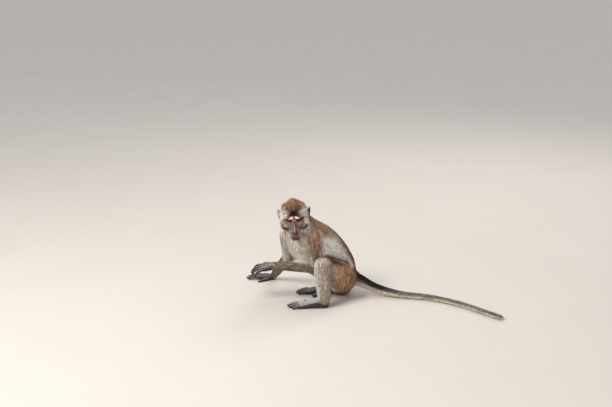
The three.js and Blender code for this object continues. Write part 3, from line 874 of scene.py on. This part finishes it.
def eye_corner(h):
    """1 in the rusty patch that lies outside and over each eye."""
    _, side, z = mirrored(h).T
    outside = ramp(14, 18, side) * ramp(29, 25, side)
    outside = outside * ramp(-4, 0, z) * ramp(11, 7, z)
    over = ramp(9, 14, side) * ramp(22, 18, side) * bell(z, 12.5, 2.6)
    return np.maximum(outside, over)


def bare_colour(q, h, share, normals, coat, rough):
    """The skin's colours: the face's, the ears' with painted shade in their hollows, the palms' and
    soles' with a painted highlight on top, dull under the coat.
    """
    x, y, z = q.T
    facing = (normals @ HEAD_TURN)[:, 0]
    # Painted shade in the hollow of the left ear, turned from the key lamp, and deep in both ears'
    # hollows.
    left_ear = ramp(-10, 10, h[:, 1])
    hollow = mix(EAR_SKIN, EAR_SHADE, left_ear * ramp(-0.3, 0.3, facing))
    inner = bell(np.abs(h[:, 1]), 39, 2.2) * ramp(0.0, 0.4, facing)
    # Painted highlight on the up-facing ridges of the bare hands and feet, half as strong on the far
    # side.
    ridge = ramp(0.4, 0.95, normals[:, 2]) * (0.75 + 0.3 * rough)
    ridge = ridge * np.where(y < ARM_SPLIT_MM, 1.0, 0.5) * (1 - 0.55 * part_of(share, *DARK_PAWS))
    seat = part_of(share, "rump") * ramp(22, 12, z) * ramp(46, 26, np.hypot(x - 40, y - 132))
    return layered(
        coat * 0.85,
        (BARE * 0.85, 0.12),
        (face_colour(h, rough), bare_face(h) * part_of(share, "head")),
        (mix(hollow, EAR_SHADE, inner), part_of(share, "ear")),
        (mix(PAW, PAW_HIGHLIGHT, ridge), part_of(share, *PAWS)),
        (SEAT, seat),
    )


def face_colour(h, rough):
    """White upper lids, rusty corners, a grey muzzle with a painted highlight on the nose's ridge
    and painted shade beside it, in the nostrils and along the mouth, and dark red-brown lips.
    """
    x, y, z = h.T
    side = np.abs(y)
    up = z - EYE_RISE_MM
    ring = lid_ring(h, wider=1.5)
    lid_top = z - 1 + 0.5 * np.maximum(side - 7, 0)
    over_lid = ramp(12.5, 14.5, lid_top) * ramp(2, 5, up)
    lid = ramp(0.9, 1.1, ring) * ramp(14.5, 12.5, lid_top)
    lid = lid * ramp(0, 3, up + 2 * ramp(8, 5, side)) * ramp(20, 15, side)
    rim = bell(up, 0.02 * (side - 9) ** 2 - 6, 0.7) * ramp(24, 20, side) * ramp(2, 4, side)
    bridge = ramp(-4, -8, z)
    mouth = z - mouth_height(h)
    lips = ramp(2.4, 0.8, mouth) * ramp(-9, -5, mouth) * ramp(2, 8, x)
    face = layered(
        BARE,
        (MUZZLE, ramp(-3, -8, z)),
        (MUZZLE_HAIR, ramp(8, 13, side) * bell(z, -37, 7)),
        (EYE_CORNER, eye_corner(h)),
        (mix(BROW, EYE_CORNER, ramp(8, 13, side)), over_lid),
        (EYELID, lid),
        (LID_EDGE, 0.45 * rim),
        (EYE_LINE, ramp(1.1, 0.85, ring)),
        (BROW_LINE, bell(side, 0, 2.2) * ramp(-12, -8, z)),
        (BROW, bell(side, 0, 2.6) * ramp(5, 11, z)),
        # Painted shade down one side of the nose, a painted highlight on its ridge, and painted
        # shade in the nostrils.
        (NOSE_SHADE, 0.75 * bell(y, 3.4, 1.9) * bridge * ramp(-32, -24, z)),
        (NOSE_HIGHLIGHT, 0.5 * bell(y, -0.5, 0.75) * bridge * ramp(-26, -21, z)),
        (NOSTRIL_SHADE, bell(side, 3.4, 2.2) * bell(z, -26, 2.8) * ramp(18, 25, x)),
        (LIPS, 0.7 * bell(y, 0.3, 1.6) * bell(z, -35, 7)),
        (LIPS, lips * ramp(18, 14, side)),
        # Painted shade along the crease of the mouth.
        (EYE_LINE, 0.8 * bell(mouth, -0.3, 0.7) * ramp(19, 15, side)),
    )
    return face * (1 + 0.1 * rough[:, None])


# ---- the coat
COAT_GROUPS = {  # the coat's pieces: the regions each covers, which side, and the slot
    "coat_head": (("head", "ear"), None, "coat_crown"),
    **{f"coat_{part}": ((part,), None, "coat_body") for part in TRUNK_PARTS},
    "coat_tail": (("tail",), None, "coat_tail"),
    **{f"coat_arm_{side}": (ARM_PARTS, side, "coat_limb") for side in SIDES},
    **{f"coat_leg_{side}": (LEG_PARTS, side, "coat_limb") for side in SIDES},
}
FLOOR_GAP_MM = 0.1  # between the floor and the lowest tufts
MOST_TUFTS = 33000  # in one piece, at six triangles each
LOCK_MM2 = 15.0  # the skin that each lock of tufts covers
BAKE_PATCH = 0.003  # the width of a tuft's own patch on the bake map
FACE_HAIR_MM, FACE_DOWN = 3.0, 0.9  # the down on the cheeks and muzzle: its length and number
ROOT_SHADE, MIDDLE_SHADE, TIP_SHADE = 0.68, 1.0, 1.12
DARK_MIDDLE, DARK_TIP = 0.75, 0.45  # the shades of the grizzled coat's dark hairs
TIP_TINT = np.array([1.12, 1.0, 0.86])  # of the warm grey that is mixed into the tips
SWIRL, WOBBLE = 0.25, 0.16  # how far whole patches and single tufts turn, in radians
ROOT_SPREAD_MM, ROOT_DEEP_MM, LENGTH_SPREAD = 0.6, 0.3, 0.18
LOWEST, LAYERED = 0.6, 0.85  # where the tips of the layers lie, in the coat's depth
MIDDLE_ALONG, MIDDLE_HIGH = 0.4, 0.72  # where a tuft's middle lies, in its length and its rise
LOCK_PULL = (0.2, 0.55)  # how far the tips of a lock are drawn together
WIDTH_SPREAD = (0.75, 1.25)


def coat_length(share, h):
    """The tufts' length in millimetres: shortest round the face, longest on the cheeks."""
    length = share @ LENGTH
    head = part_of(share, "head")
    bare = bare_face(h) * head
    x, side, z = mirrored(h).T
    near_face = ramp(-26, -2, x - 0.3 * side) * head
    brow = ramp(-38, -12, x) * ramp(44, 14, z) * (z > 0) * head
    cheek = ramp(22, 32, side) * ramp(4, -10, z) * head
    near_ear = bell(x, -40, 12) * bell(z, -2, 14) * ramp(28, 35, side) * head
    short = np.maximum(np.maximum(near_face, 0.9 * brow), near_ear)
    length = length * (1 - 0.6 * short) * (1 + 0.6 * cheek)
    return between(length, FACE_HAIR_MM - ramp(-10, 0, z), bare)


def coat_density(skin, share, h, normals, q):
    """Tufts per square millimetre: none on palms and soles, and few on the face and seat."""
    density = share @ DENSITY
    bare = ramp(0.3, 1.0, bare_face(h, soft=3.0) * part_of(share, "head"))
    down = ramp(5, 12, np.abs(h[:, 1])) * ramp(-3, -9, h[:, 2])
    down = np.maximum(down, eye_corner(h) * ramp(1.3, 1.8, lid_ring(h)))
    density = density * (1 - bare) + FACE_DOWN * down * bare * (mouth_height(h) + 3 < h[:, 2])
    for part, digit in (("hand", "finger"), ("foot", "toe")):
        amount = part_of(share, part, digit)
        left, right = (normals @ UPWARD[part][side] for side in SIDES)
        up = np.where(q[:, 1] < LEG_SPLIT_MM, left, right)
        density = density * (1 - ramp(0.2, 0.6, amount) * ramp(0.5, 0.1, up))
    under = ramp(-0.6, -0.9, normals[:, 2]) * ramp(16, 10, q[:, 2])
    return density * (1 - 0.7 * under)


def nearest_on(tree, points):
    """The nearest points of the skin and its normals there."""
    found = [tree.find_nearest(point)[:2] for point in points]
    places = np.array([place for place, _ in found])
    normals = np.array([normal for _, normal in found])
    return places, normals


def mean_by(labels, values):
    count = np.maximum(np.bincount(labels), 1)
    columns = [np.bincount(labels, values[:, axis]) / count for axis in range(values.shape[1])]
    return np.stack(columns, 1)


def grow_coat(skin, share, normals, lie, colours):
    """All the tufts: five points each, their colours, and the skin point each grows from."""
    q = working(skin.points)
    h = to_head(skin.points)
    length = coat_length(share, h)
    face = bare_face(h) * part_of(share, "head")
    depth = share @ DEPTH + HEAD_COAT_MM * part_of(share, "head") * (1 - face)
    density = coat_density(skin, share, h, normals, q) * 1
    count = np.floor(density * skin.areas() + random.random(len(q))).astype(int)
    origin = np.repeat(np.arange(len(q)), count)
    amount = len(origin)

    swirl = SWIRL * noise(q, 26, 3)[origin] + WOBBLE * random.standard_normal(amount)
    aside = np.cross(normals[origin], lie[origin])
    way = unit(lie[origin] * np.cos(swirl)[:, None] + aside * np.sin(swirl)[:, None])
    jitter = random.uniform(-ROOT_SPREAD_MM, ROOT_SPREAD_MM, (amount, 2)) * MM
    root = skin.points[origin] + lie[origin] * jitter[:, :1] + aside * jitter[:, 1:]
    long = length[origin] * np.exp(LENGTH_SPREAD * random.standard_normal(amount)) * MM
    layer = random.random(amount)
    high = depth[origin] * (LOWEST + LAYERED * layer) * MM

    faces = [list(face.vertices) for face in skin.mesh.polygons]
    tree = BVHTree.FromPolygons(skin.points.tolist(), faces)
    near, near_normal = nearest_on(tree, root + way * (MIDDLE_ALONG * long)[:, None])
    onward = flat_on(way, near_normal) * ((1 - MIDDLE_ALONG) * long)[:, None]
    far, far_normal = nearest_on(tree, near + onward)
    middle = near + near_normal * (MIDDLE_HIGH * high)[:, None]
    tip = far + far_normal * high[:, None]
    root = root - normals[origin] * ROOT_DEEP_MM * MM

    locks = max(int(skin.areas().sum() / LOCK_MM2), 1)
    chosen = random.choice(amount, min(locks, amount), replace=False)
    anchors = tree_of(root[chosen])
    lock = np.array([anchors.find(place)[1] for place in root])
    pull = random.uniform(*LOCK_PULL, len(chosen))[lock][:, None]
    tip = tip + pull * (mean_by(lock, tip)[lock] - tip)
    middle = middle + 0.4 * pull * (mean_by(lock, middle)[lock] - middle)

    width = (share @ WIDTH)[origin] * random.uniform(*WIDTH_SPREAD, amount) * MM
    width = width * np.clip(long / (length[origin] * MM), 0.6, 1.2) * (1 - 0.5 * face[origin])
    points = tuft_points(root, middle, tip, near_normal, width)
    points[:, :, 2] = np.maximum(points[:, :, 2], FLOOR_GAP_MM * MM)

    grizzle = (share @ GRIZZLE)[origin]
    crown = share[origin, COLUMN["head"]] * ramp(10, 30, h[origin, 2])
    grizzle = grizzle + 0.4 * crown
    shade = 0.15 * random.standard_normal(amount) + 0.24 * random.standard_normal(len(chosen))[lock]
    shade = shade * (0.6 + 0.8 * grizzle) + 0.25 * (layer - 0.6)
    base = colours[origin] * np.exp(shade)[:, None]
    dark = random.random(amount) < 0.3 * grizzle
    tip_shade = np.where(dark, DARK_TIP, TIP_SHADE + 0.3 * random.random(amount))[:, None]
    middle_shade = np.where(dark, DARK_MIDDLE, MIDDLE_SHADE)[:, None]
    tip_colour = mix(base, base.mean(axis=1, keepdims=True) * TIP_TINT, np.full(amount, 0.45))
    shades = [base * ROOT_SHADE] + [base * middle_shade] * 3 + [tip_colour * tip_shade]
    return points, np.stack(shades, 1), origin


def tuft_points(root, middle, tip, normal, width):
    """A tuft pointed at both ends: the root, a ring of three points, and the tip."""
    aside = unit(np.cross(normal, tip - root)) * (width / 2)[:, None]
    rise = normal * (width * 0.4)[:, None]
    return np.stack([root, middle + aside, middle + rise, middle - aside, tip], 1)


TUFT_FACES = np.array([[0, 2, 1], [0, 3, 2], [0, 1, 3], [4, 1, 2], [4, 2, 3], [4, 3, 1]])
TUFT_PATCH = np.array([[0.5, 0], [0.1, 0.5], [0.5, 0.5], [0.9, 0.5], [0.5, 1]])


def unwrapped(points, regions):
    """Where points lie on an unwrap: each region rolled off like a cylinder in its own cell."""
    cells = math.ceil(math.sqrt(len(set(regions))))
    place = np.zeros((len(points), 2))
    for cell, region in enumerate(sorted(set(regions))):
        mine = regions == region
        part = points[mine] - points[mine].mean(0)
        axes = np.linalg.svd(part[:: max(1, len(part) // 2000)], full_matrices=False)[2]
        if len(part) < 3:
            axes = np.eye(3)
        along_axis = part @ axes[0]
        turn = np.arctan2(part @ axes[2], part @ axes[1]) / math.tau + 0.5
        height = (along_axis - along_axis.min()) / max(np.ptp(along_axis), 1e-9)
        corner = np.array([cell % cells, cell // cells]) / cells
        place[mine] = corner + np.stack([turn, height], 1) * (0.98 / cells - BAKE_PATCH)
    return place


def coat_piece(name, points, colours, roots, regions):
    """One mesh of closed tufts, with their colours and a map for baking on."""
    first = np.arange(len(points))[:, None, None] * TUFT_PATCH.shape[0]
    mesh = mesh_of(name, points.reshape(-1, 3), [(first + TUFT_FACES).reshape(-1, 3)])
    paint(mesh, "markings_and_painted_light", colours.reshape(-1, 3))
    place = unwrapped(roots, regions)[:, None, :] + TUFT_PATCH * BAKE_PATCH
    layer = mesh.uv_layers.new(name="OFBake")
    fill(layer.uv, "vector", place.reshape(-1, 2)[corners_of(mesh)])
    return add_object(name, mesh)


def nodes_of(regions, side):
    found = [node for node in FLESH if region_of(node) in regions]
    return [node for node in found if side is None or node.endswith(side)]


def coat_pieces(skin, share, normals, lie, colours):
    points, colours, origin = grow_coat(skin, share, normals, lie, colours)
    region = np.argmax(share[origin], axis=1)
    q = working(skin.points[origin])
    arms = np.isin(region, [COLUMN[name] for name in ARM_PARTS])
    left = q[:, 1] < np.where(arms, ARM_SPLIT_MM, LEG_SPLIT_MM)
    material = coat_material()
    for name, (regions, side, slot) in COAT_GROUPS.items():
        mine = np.isin(region, [COLUMN[part] for part in regions])
        if side is not None:
            mine = mine & (left == (side == "left"))
        mine = np.flatnonzero(mine)
        parts = math.ceil(len(mine) / MOST_TUFTS)
        mine = mine[np.argsort(q[mine, 2] + 0.5 * q[mine, 0], kind="stable")]
        for number, rows in enumerate(np.array_split(mine, parts)):
            label = f"{name}_{number + 1}" if parts > 1 else name
            roots = skin.points[origin[rows]]
            piece = coat_piece(label, points[rows], colours[rows], roots, region[rows])
            piece.data.materials.append(material)
            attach(piece, "root")
            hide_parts(*nodes_of(regions, side))


# ---- materials
class Material:
    """A node material being put together round one Principled shader."""

    def __init__(self, name, **fixed):
        self.data = bpy.data.materials.new(name)
        self.data.use_nodes = True
        self.tree = self.data.node_tree
        self.shader = self.tree.nodes["Principled BSDF"]
        for socket, value in fixed.items():
            self.shader.inputs[socket.replace("_", " ")].default_value = value

    def node(self, kind, inputs=None, **settings):
        made = self.tree.nodes.new(kind)
        for key, value in settings.items():
            setattr(made, key, value)
        for socket, value in (inputs or {}).items():
            if isinstance(value, bpy.types.NodeSocket):
                self.tree.links.new(value, made.inputs[socket])
            else:
                made.inputs[socket].default_value = value
        return made

    def place(self):
        return self.node("ShaderNodeTexCoord").outputs["Object"]

    def noise(self, scale):
        inputs = {"Vector": self.place(), "Scale": scale, "Detail": 4.0, "Roughness": 0.6}
        return self.node("ShaderNodeTexNoise", inputs).outputs["Fac"]

    def between(self, value, low, high):
        """The value, from 0 to 1, mapped to lie between low and high."""
        inputs = {"Value": value, "To Min": low, "To Max": high}
        return self.node("ShaderNodeMapRange", inputs).outputs["Result"]

    def sum(self, a, b, share):
        """a and a share of b together."""
        inputs = {0: b, 1: share, 2: a}
        return self.node("ShaderNodeMath", inputs, operation="MULTIPLY_ADD").outputs[0]

    def painted(self, low, high, scale):
        """The mesh's stored colours, painted light and shade included, made a little lighter and
        darker by fine noise.
        """
        colour = self.node("ShaderNodeAttribute", attribute_name="markings_and_painted_light").outputs["Color"]
        shade = self.between(self.noise(scale), low, high)
        grey = self.node("ShaderNodeCombineColor", {"Red": shade, "Green": shade, "Blue": shade})
        return self.mixed(1.0, colour, grey.outputs[0], "MULTIPLY")

    def mixed(self, share, a, b, way="MIX"):
        """Two colours put together by a Mix node, whose colours are its sockets 6, 7 and 2."""
        inputs = {0: share, 6: a, 7: b}
        mixer = self.node("ShaderNodeMix", inputs, data_type="RGBA", blend_type=way)
        return mixer.outputs[2]

    def link(self, socket, name):
        self.tree.links.new(socket, self.shader.inputs[name])

    def bump(self, height, distance, strength):
        inputs = {"Height": height, "Distance": distance, "Strength": strength}
        self.link(self.node("ShaderNodeBump", inputs).outputs["Normal"], "Normal")


def coat_material():
    coat = Material("coat", Specular_IOR_Level=0.15, Sheen_Weight=0.08, Sheen_Roughness=0.5)
    coat.link(coat.painted(0.8, 1.2, 900.0), "Base Color")
    coat.link(coat.between(coat.noise(400.0), 0.55, 0.8), "Roughness")
    coat.bump(coat.noise(2500.0), 0.0002, 0.4)
    return coat.data


def skin_material():
    """Bare skin with pores and fine creases, painted with the same colours as the coat, painted
    light and shade included.
    """
    skin = Material("bare_skin", Specular_IOR_Level=0.22, Subsurface_Weight=0.04)
    skin.shader.inputs["Subsurface Scale"].default_value = 0.004
    skin.link(skin.painted(0.85, 1.15, 350.0), "Base Color")
    cells = skin.node("ShaderNodeTexVoronoi", {"Vector": skin.place(), "Scale": 600.0})
    creases = skin.between(cells.outputs["Distance"], 0.0, 1.0)
    pores = skin.noise(1800.0)
    skin.link(skin.between(skin.noise(250.0), 0.42, 0.62), "Roughness")
    skin.bump(skin.sum(pores, creases, 0.6), 0.0007, 0.8)
    return skin.data


# ---- the skin's own piece
SKIN_FACES = 180000
COARSE_STEPS = 4  # between the finest skin, on the face and paws, and the coarsest
LEAST_COARSE = 0.02  # the finest skin's weight in the coarsening


def skin_piece(skin, share, colours):
    """The skin as it is kept: coarser than it was shaped where the coat hides it."""
    full = add_object("skin", skin.mesh.copy())
    fine = part_of(share, *PAWS, "ear")
    h = to_head(skin.points)
    fine = np.maximum(fine, in_box(h, FACE_BOX_MM) * part_of(share, "head"))
    group = full.vertex_groups.new(name="coarse")
    steps = np.clip(np.round((1 - fine) * COARSE_STEPS).astype(int), 0, COARSE_STEPS)
    for step in range(COARSE_STEPS + 1):
        chosen = np.flatnonzero(steps == step).tolist()
        group.add(chosen, LEAST_COARSE + (1 - LEAST_COARSE) * step / COARSE_STEPS, "REPLACE")
    triangles = int(numbers(skin.mesh.polygons, "loop_total").sum() - 2 * len(skin.mesh.polygons))
    decimate = full.modifiers.new("coarser", "DECIMATE")
    decimate.ratio = SKIN_FACES / triangles
    decimate.vertex_group = "coarse"
    mesh = applied(full)
    mesh.shade_smooth()
    tree = tree_of(skin.points)
    nearest = [tree.find(vertex.co)[1] for vertex in mesh.vertices]
    paint(mesh, "markings_and_painted_light", colours[nearest])
    piece = add_object("skin", mesh)
    piece.data.materials.append(skin_material())
    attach(piece, "root")
    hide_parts(*FLESH)


# ---- eyes
IRIS_ANGLE, PUPIL_ANGLE = math.radians(45), math.radians(20)
GAZE_UP = 0.08
EYE_ROWS, EYE_SIDES = 56, 64
EYE_SHARE = 0.995  # the eyeball's radius, of the radius of the solid it replaces
IRIS_DIP_MM, PUPIL_DEEP_MM = 0.9, 0.9
SCLERA, IRIS_INNER, IRIS_OUTER = linear((120, 92, 72), (186, 138, 52), (112, 86, 30))
LIMBUS = linear(20, 13, 10)


def turned(profile, axis, centre, sides):
    """Points and faces of a closed form turned round an axis, from pole to pole."""
    axis = unit(np.array(axis, float))
    first = unit(np.cross(axis, [0.0, 0.0, 1.0]))
    second = np.cross(axis, first)
    turn = np.arange(sides) * math.tau / sides
    ring = np.cos(turn)[:, None] * first + np.sin(turn)[:, None] * second
    rows = [centre + axis * reach + ring * out for reach, out in profile[1:-1]]
    points = np.concatenate([*rows, [centre + axis * profile[0][0], centre + axis * profile[-1][0]]])
    j = np.arange(sides)
    k = (j + 1) % sides
    quads = [
        np.stack([i * sides + j, (i + 1) * sides + j, (i + 1) * sides + k, i * sides + k], 1)
        for i in range(len(rows) - 1)
    ]
    start, end = len(points) - 2, len(points) - 1
    last = (len(rows) - 1) * sides
    caps = [
        np.stack([np.full(sides, start), j, k], 1),
        np.stack([np.full(sides, end), last + k, last + j], 1),
    ]
    return points, [np.concatenate(quads), np.concatenate(caps)]


def eyeball_profile(radius):
    """The eyeball's outline from its front to its back, with a flat iris and a deep pupil."""
    rows = []
    for angle in np.linspace(0, math.pi, EYE_ROWS):
        share = angle / IRIS_ANGLE
        dip = IRIS_DIP_MM * (1 - ramp(0.85, 1.05, share)) - 0.35 * (1 - share) * (share < 1)
        reach = radius * math.cos(max(angle, IRIS_ANGLE))
        if share <= 1:
            reach += (0.55 - float(dip) * 0.6) * MM
        if angle < PUPIL_ANGLE * 0.97:
            reach -= PUPIL_DEEP_MM * MM
        rows.append((reach, radius * math.sin(angle)))
    return rows


def cornea_profile(radius):
    """The outline of the clear dome over the iris, closed at the back."""
    rim = IRIS_ANGLE * 1.06
    front = [
        (radius * (math.cos(a) + 0.1 * (1 - (a / rim) ** 2)), radius * math.sin(a))
        for a in np.linspace(0, rim, 14)
    ]
    back = [(radius * (math.cos(rim) - 0.02), radius * math.sin(a)) for a in np.linspace(rim, 0, 8)]
    return front + back[1:]


def eye_colours(points, centre, axis, radius):
    """A dark pupil, a streaked amber iris with a dark edge, and a brownish white."""
    out = points - centre
    reach = out @ axis
    flat = out - reach[:, None] * axis
    wide = np.linalg.norm(flat, axis=1) / radius
    iris, pupil = math.sin(IRIS_ANGLE), math.sin(PUPIL_ANGLE)
    spokes = noise(unit(flat), 0.12, 5)
    t = (wide - pupil) / (iris - pupil)
    colour = mix(IRIS_INNER, IRIS_OUTER, np.clip(t + 0.35 * spokes, 0, 1))
    colour = mix(colour, LIMBUS, ramp(0.78, 0.95, t))
    colour = mix(colour, LIMBUS * 0.3, ramp(0.06, -0.02, t))
    white = ramp(1.0, 1.2, t) + (reach < 0)
    return mix(colour, SCLERA, np.clip(white, 0, 1))


def eye_pieces(side):
    node = f"eye_{side}"
    low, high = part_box(node)
    centre = middle_of(node)
    radius = float(high.z - low.z) / 2 * EYE_SHARE
    axis = unit(HEAD_TURN @ np.array([1.0, 0.0, GAZE_UP]))
    points, faces = turned(eyeball_profile(radius), axis, centre, EYE_SIDES)
    ball = add_object(f"eyeball_{side}", mesh_of("eyeball", points, faces))
    paint(ball.data, "markings_and_painted_light", eye_colours(points, centre, axis, radius))
    wet = Material("eyeball", Roughness=0.5, Specular_IOR_Level=0.08)
    wet.link(wet.painted(0.85, 1.15, 1500.0), "Base Color")
    ball.data.materials.append(wet.data)
    points, faces = turned(cornea_profile(radius), axis, centre, EYE_SIDES)
    dome = add_object(f"cornea_{side}", mesh_of("cornea", points, faces))
    clear = Material("cornea", Roughness=0.02, Transmission_Weight=1.0, IOR=1.12)
    clear.link(clear.between(clear.noise(300.0), 0.01, 0.03), "Roughness")
    dome.data.materials.append(clear.data)
    for piece in (ball, dome):
        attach(piece, "root")
        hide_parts(node)


# ---- nails
NAIL = linear(58, 50, 46)
TIP_MM, SHAFT_MM = 7, (8, 18)  # how far from its end a digit's tip and the length behind it lie
NAIL_LENGTH, NAIL_WIDTH = 0.85, 0.72  # in half the digit's thickness


def plate():
    """A ball of radius one, as points and faces, that is flattened to make each nail."""
    angles = np.linspace(0, math.pi, 9)
    return turned([(math.cos(a), math.sin(a)) for a in angles], (1, 0, 0), np.zeros(3), 14)


def nail_pieces(part, digit, side):
    """The nails of one hand or foot, curved over the ends of its digits."""
    points, faces = plate()
    base = middle_of(f"{part}_{side}")
    up = unit(np.array(UPWARD[part][side], float))
    made, rows = [], []
    for node in (n for n in FLESH if n.startswith(digit) and n.endswith(side)):
        body = numbers(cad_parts[node].data.vertices, "co", 3)
        away = np.linalg.norm(body - base, axis=1)
        end = body[np.argmax(away)]
        reach = np.linalg.norm(body - end, axis=1)
        tip = body[reach < TIP_MM * MM].mean(0)
        shaft = (reach > SHAFT_MM[0] * MM) & (reach < SHAFT_MM[1] * MM)
        way = unit(tip - body[shaft].mean(0))
        rise = flat_on(up[None], way[None])[0]
        aside = np.cross(rise, way)
        thick = 0.5 * np.ptp((body[reach < 9 * MM] - tip) @ aside)
        u, v, w = points.T
        place = (
            tip
            + way * (u[:, None] * NAIL_LENGTH * thick + 0.25 * thick)
            + aside * v[:, None] * NAIL_WIDTH * thick
            + rise * (w * 0.12 - 0.4 * v**2 - 0.16 * u**2 + 0.93)[:, None] * thick
        )
        first = sum(len(m) for m in made)
        made.append(place)
        rows.append([f + first for f in faces])
    faces = [np.concatenate(kind) for kind in zip(*rows)]
    piece = add_object(f"nails_{part}_{side}", mesh_of("nails", np.concatenate(made), faces))
    horn = Material("nail", Roughness=0.35, Specular_IOR_Level=0.45)
    paint(piece.data, "markings_and_painted_light", np.tile(NAIL, (len(piece.data.vertices), 1)))
    horn.link(horn.painted(0.7, 1.3, 500.0), "Base Color")
    horn.bump(horn.noise(900.0), 0.0002, 0.3)
    piece.data.materials.append(horn.data)
    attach(piece, "root")


# ---- stage, light, camera
CAMERA_PLACE_MM = (-66.0, -2816.6, 1079.3)  # in the solids' working frame
CAMERA_DOWN = 15  # degrees below level
LENS_MM, SENSOR_MM = 58.82, 36
FLOOR_HALF = 40.0  # half the floor's width in metres


def add_floor():
    corners = np.array([[-1, -1, 0], [1, -1, 0], [1, 1, 0], [-1, 1, 0]]) * FLOOR_HALF
    floor = add_object("floor", mesh_of("floor", corners, [np.array([[0, 1, 2, 3]])]))
    pale = Material("floor", Roughness=0.9, Specular_IOR_Level=0.2)
    low, high = (*linear(184, 177, 169), 1), (*linear(190, 183, 175), 1)
    pale.link(pale.mixed(pale.noise(3.0), low, high), "Base Color")
    floor.data.materials.append(pale.data)


def add_light(name, place, aim, size, power, colour):
    lamp = bpy.data.lights.new(name, "AREA")
    lamp.shape = "DISK"
    lamp.size = size
    lamp.energy = power
    lamp.color = colour
    light = add_object(name, lamp)
    light.location = place
    light.rotation_euler = (Vector(aim) - Vector(place)).to_track_quat("-Z", "Y").to_euler()


def add_lights():
    world = bpy.data.worlds.new("studio")
    world.use_nodes = True
    sky = world.node_tree.nodes["Background"]
    sky.inputs["Color"].default_value = (0.93, 0.96, 1.0, 1)
    sky.inputs["Strength"].default_value = 0.95
    bpy.context.scene.world = world
    middle = (-0.08, 0.0, 0.12)
    add_light("key", (-1.7, -1.3, 2.3), middle, size=1.3, power=85, colour=(1.0, 0.97, 0.93))
    add_light("rim", (0.9, 1.8, 2.0), middle, size=1.2, power=22, colour=(1.0, 0.98, 0.95))


def add_camera():
    camera = add_object("camera", bpy.data.cameras.new("camera"))
    camera.location = (np.array(CAMERA_PLACE_MM) + ROW_SHIFT_MM) * MM
    camera.rotation_euler = (math.radians(90 - CAMERA_DOWN), 0, 0)
    camera.data.lens = LENS_MM
    camera.data.sensor_width = SENSOR_MM
    camera.data.clip_end = 200
    bpy.context.scene.camera = camera


skin, share = body_skin()
normals = unit(skin.spread(skin.normals(), 2))
lie = lie_of_coat(skin, share, normals)
coat_colours, skin_colours = markings_and_painted_light(skin, share, normals, streaks_in(skin, lie))
skin_piece(skin, share, skin_colours)
coat_pieces(skin, share, normals, lie, coat_colours)
for side in SIDES:
    eye_pieces(side)
    nail_pieces("hand", "finger", side)
    nail_pieces("foot", "toe", side)
add_floor()
add_lights()
add_camera()
bpy.context.scene.view_settings.view_transform = "Standard"
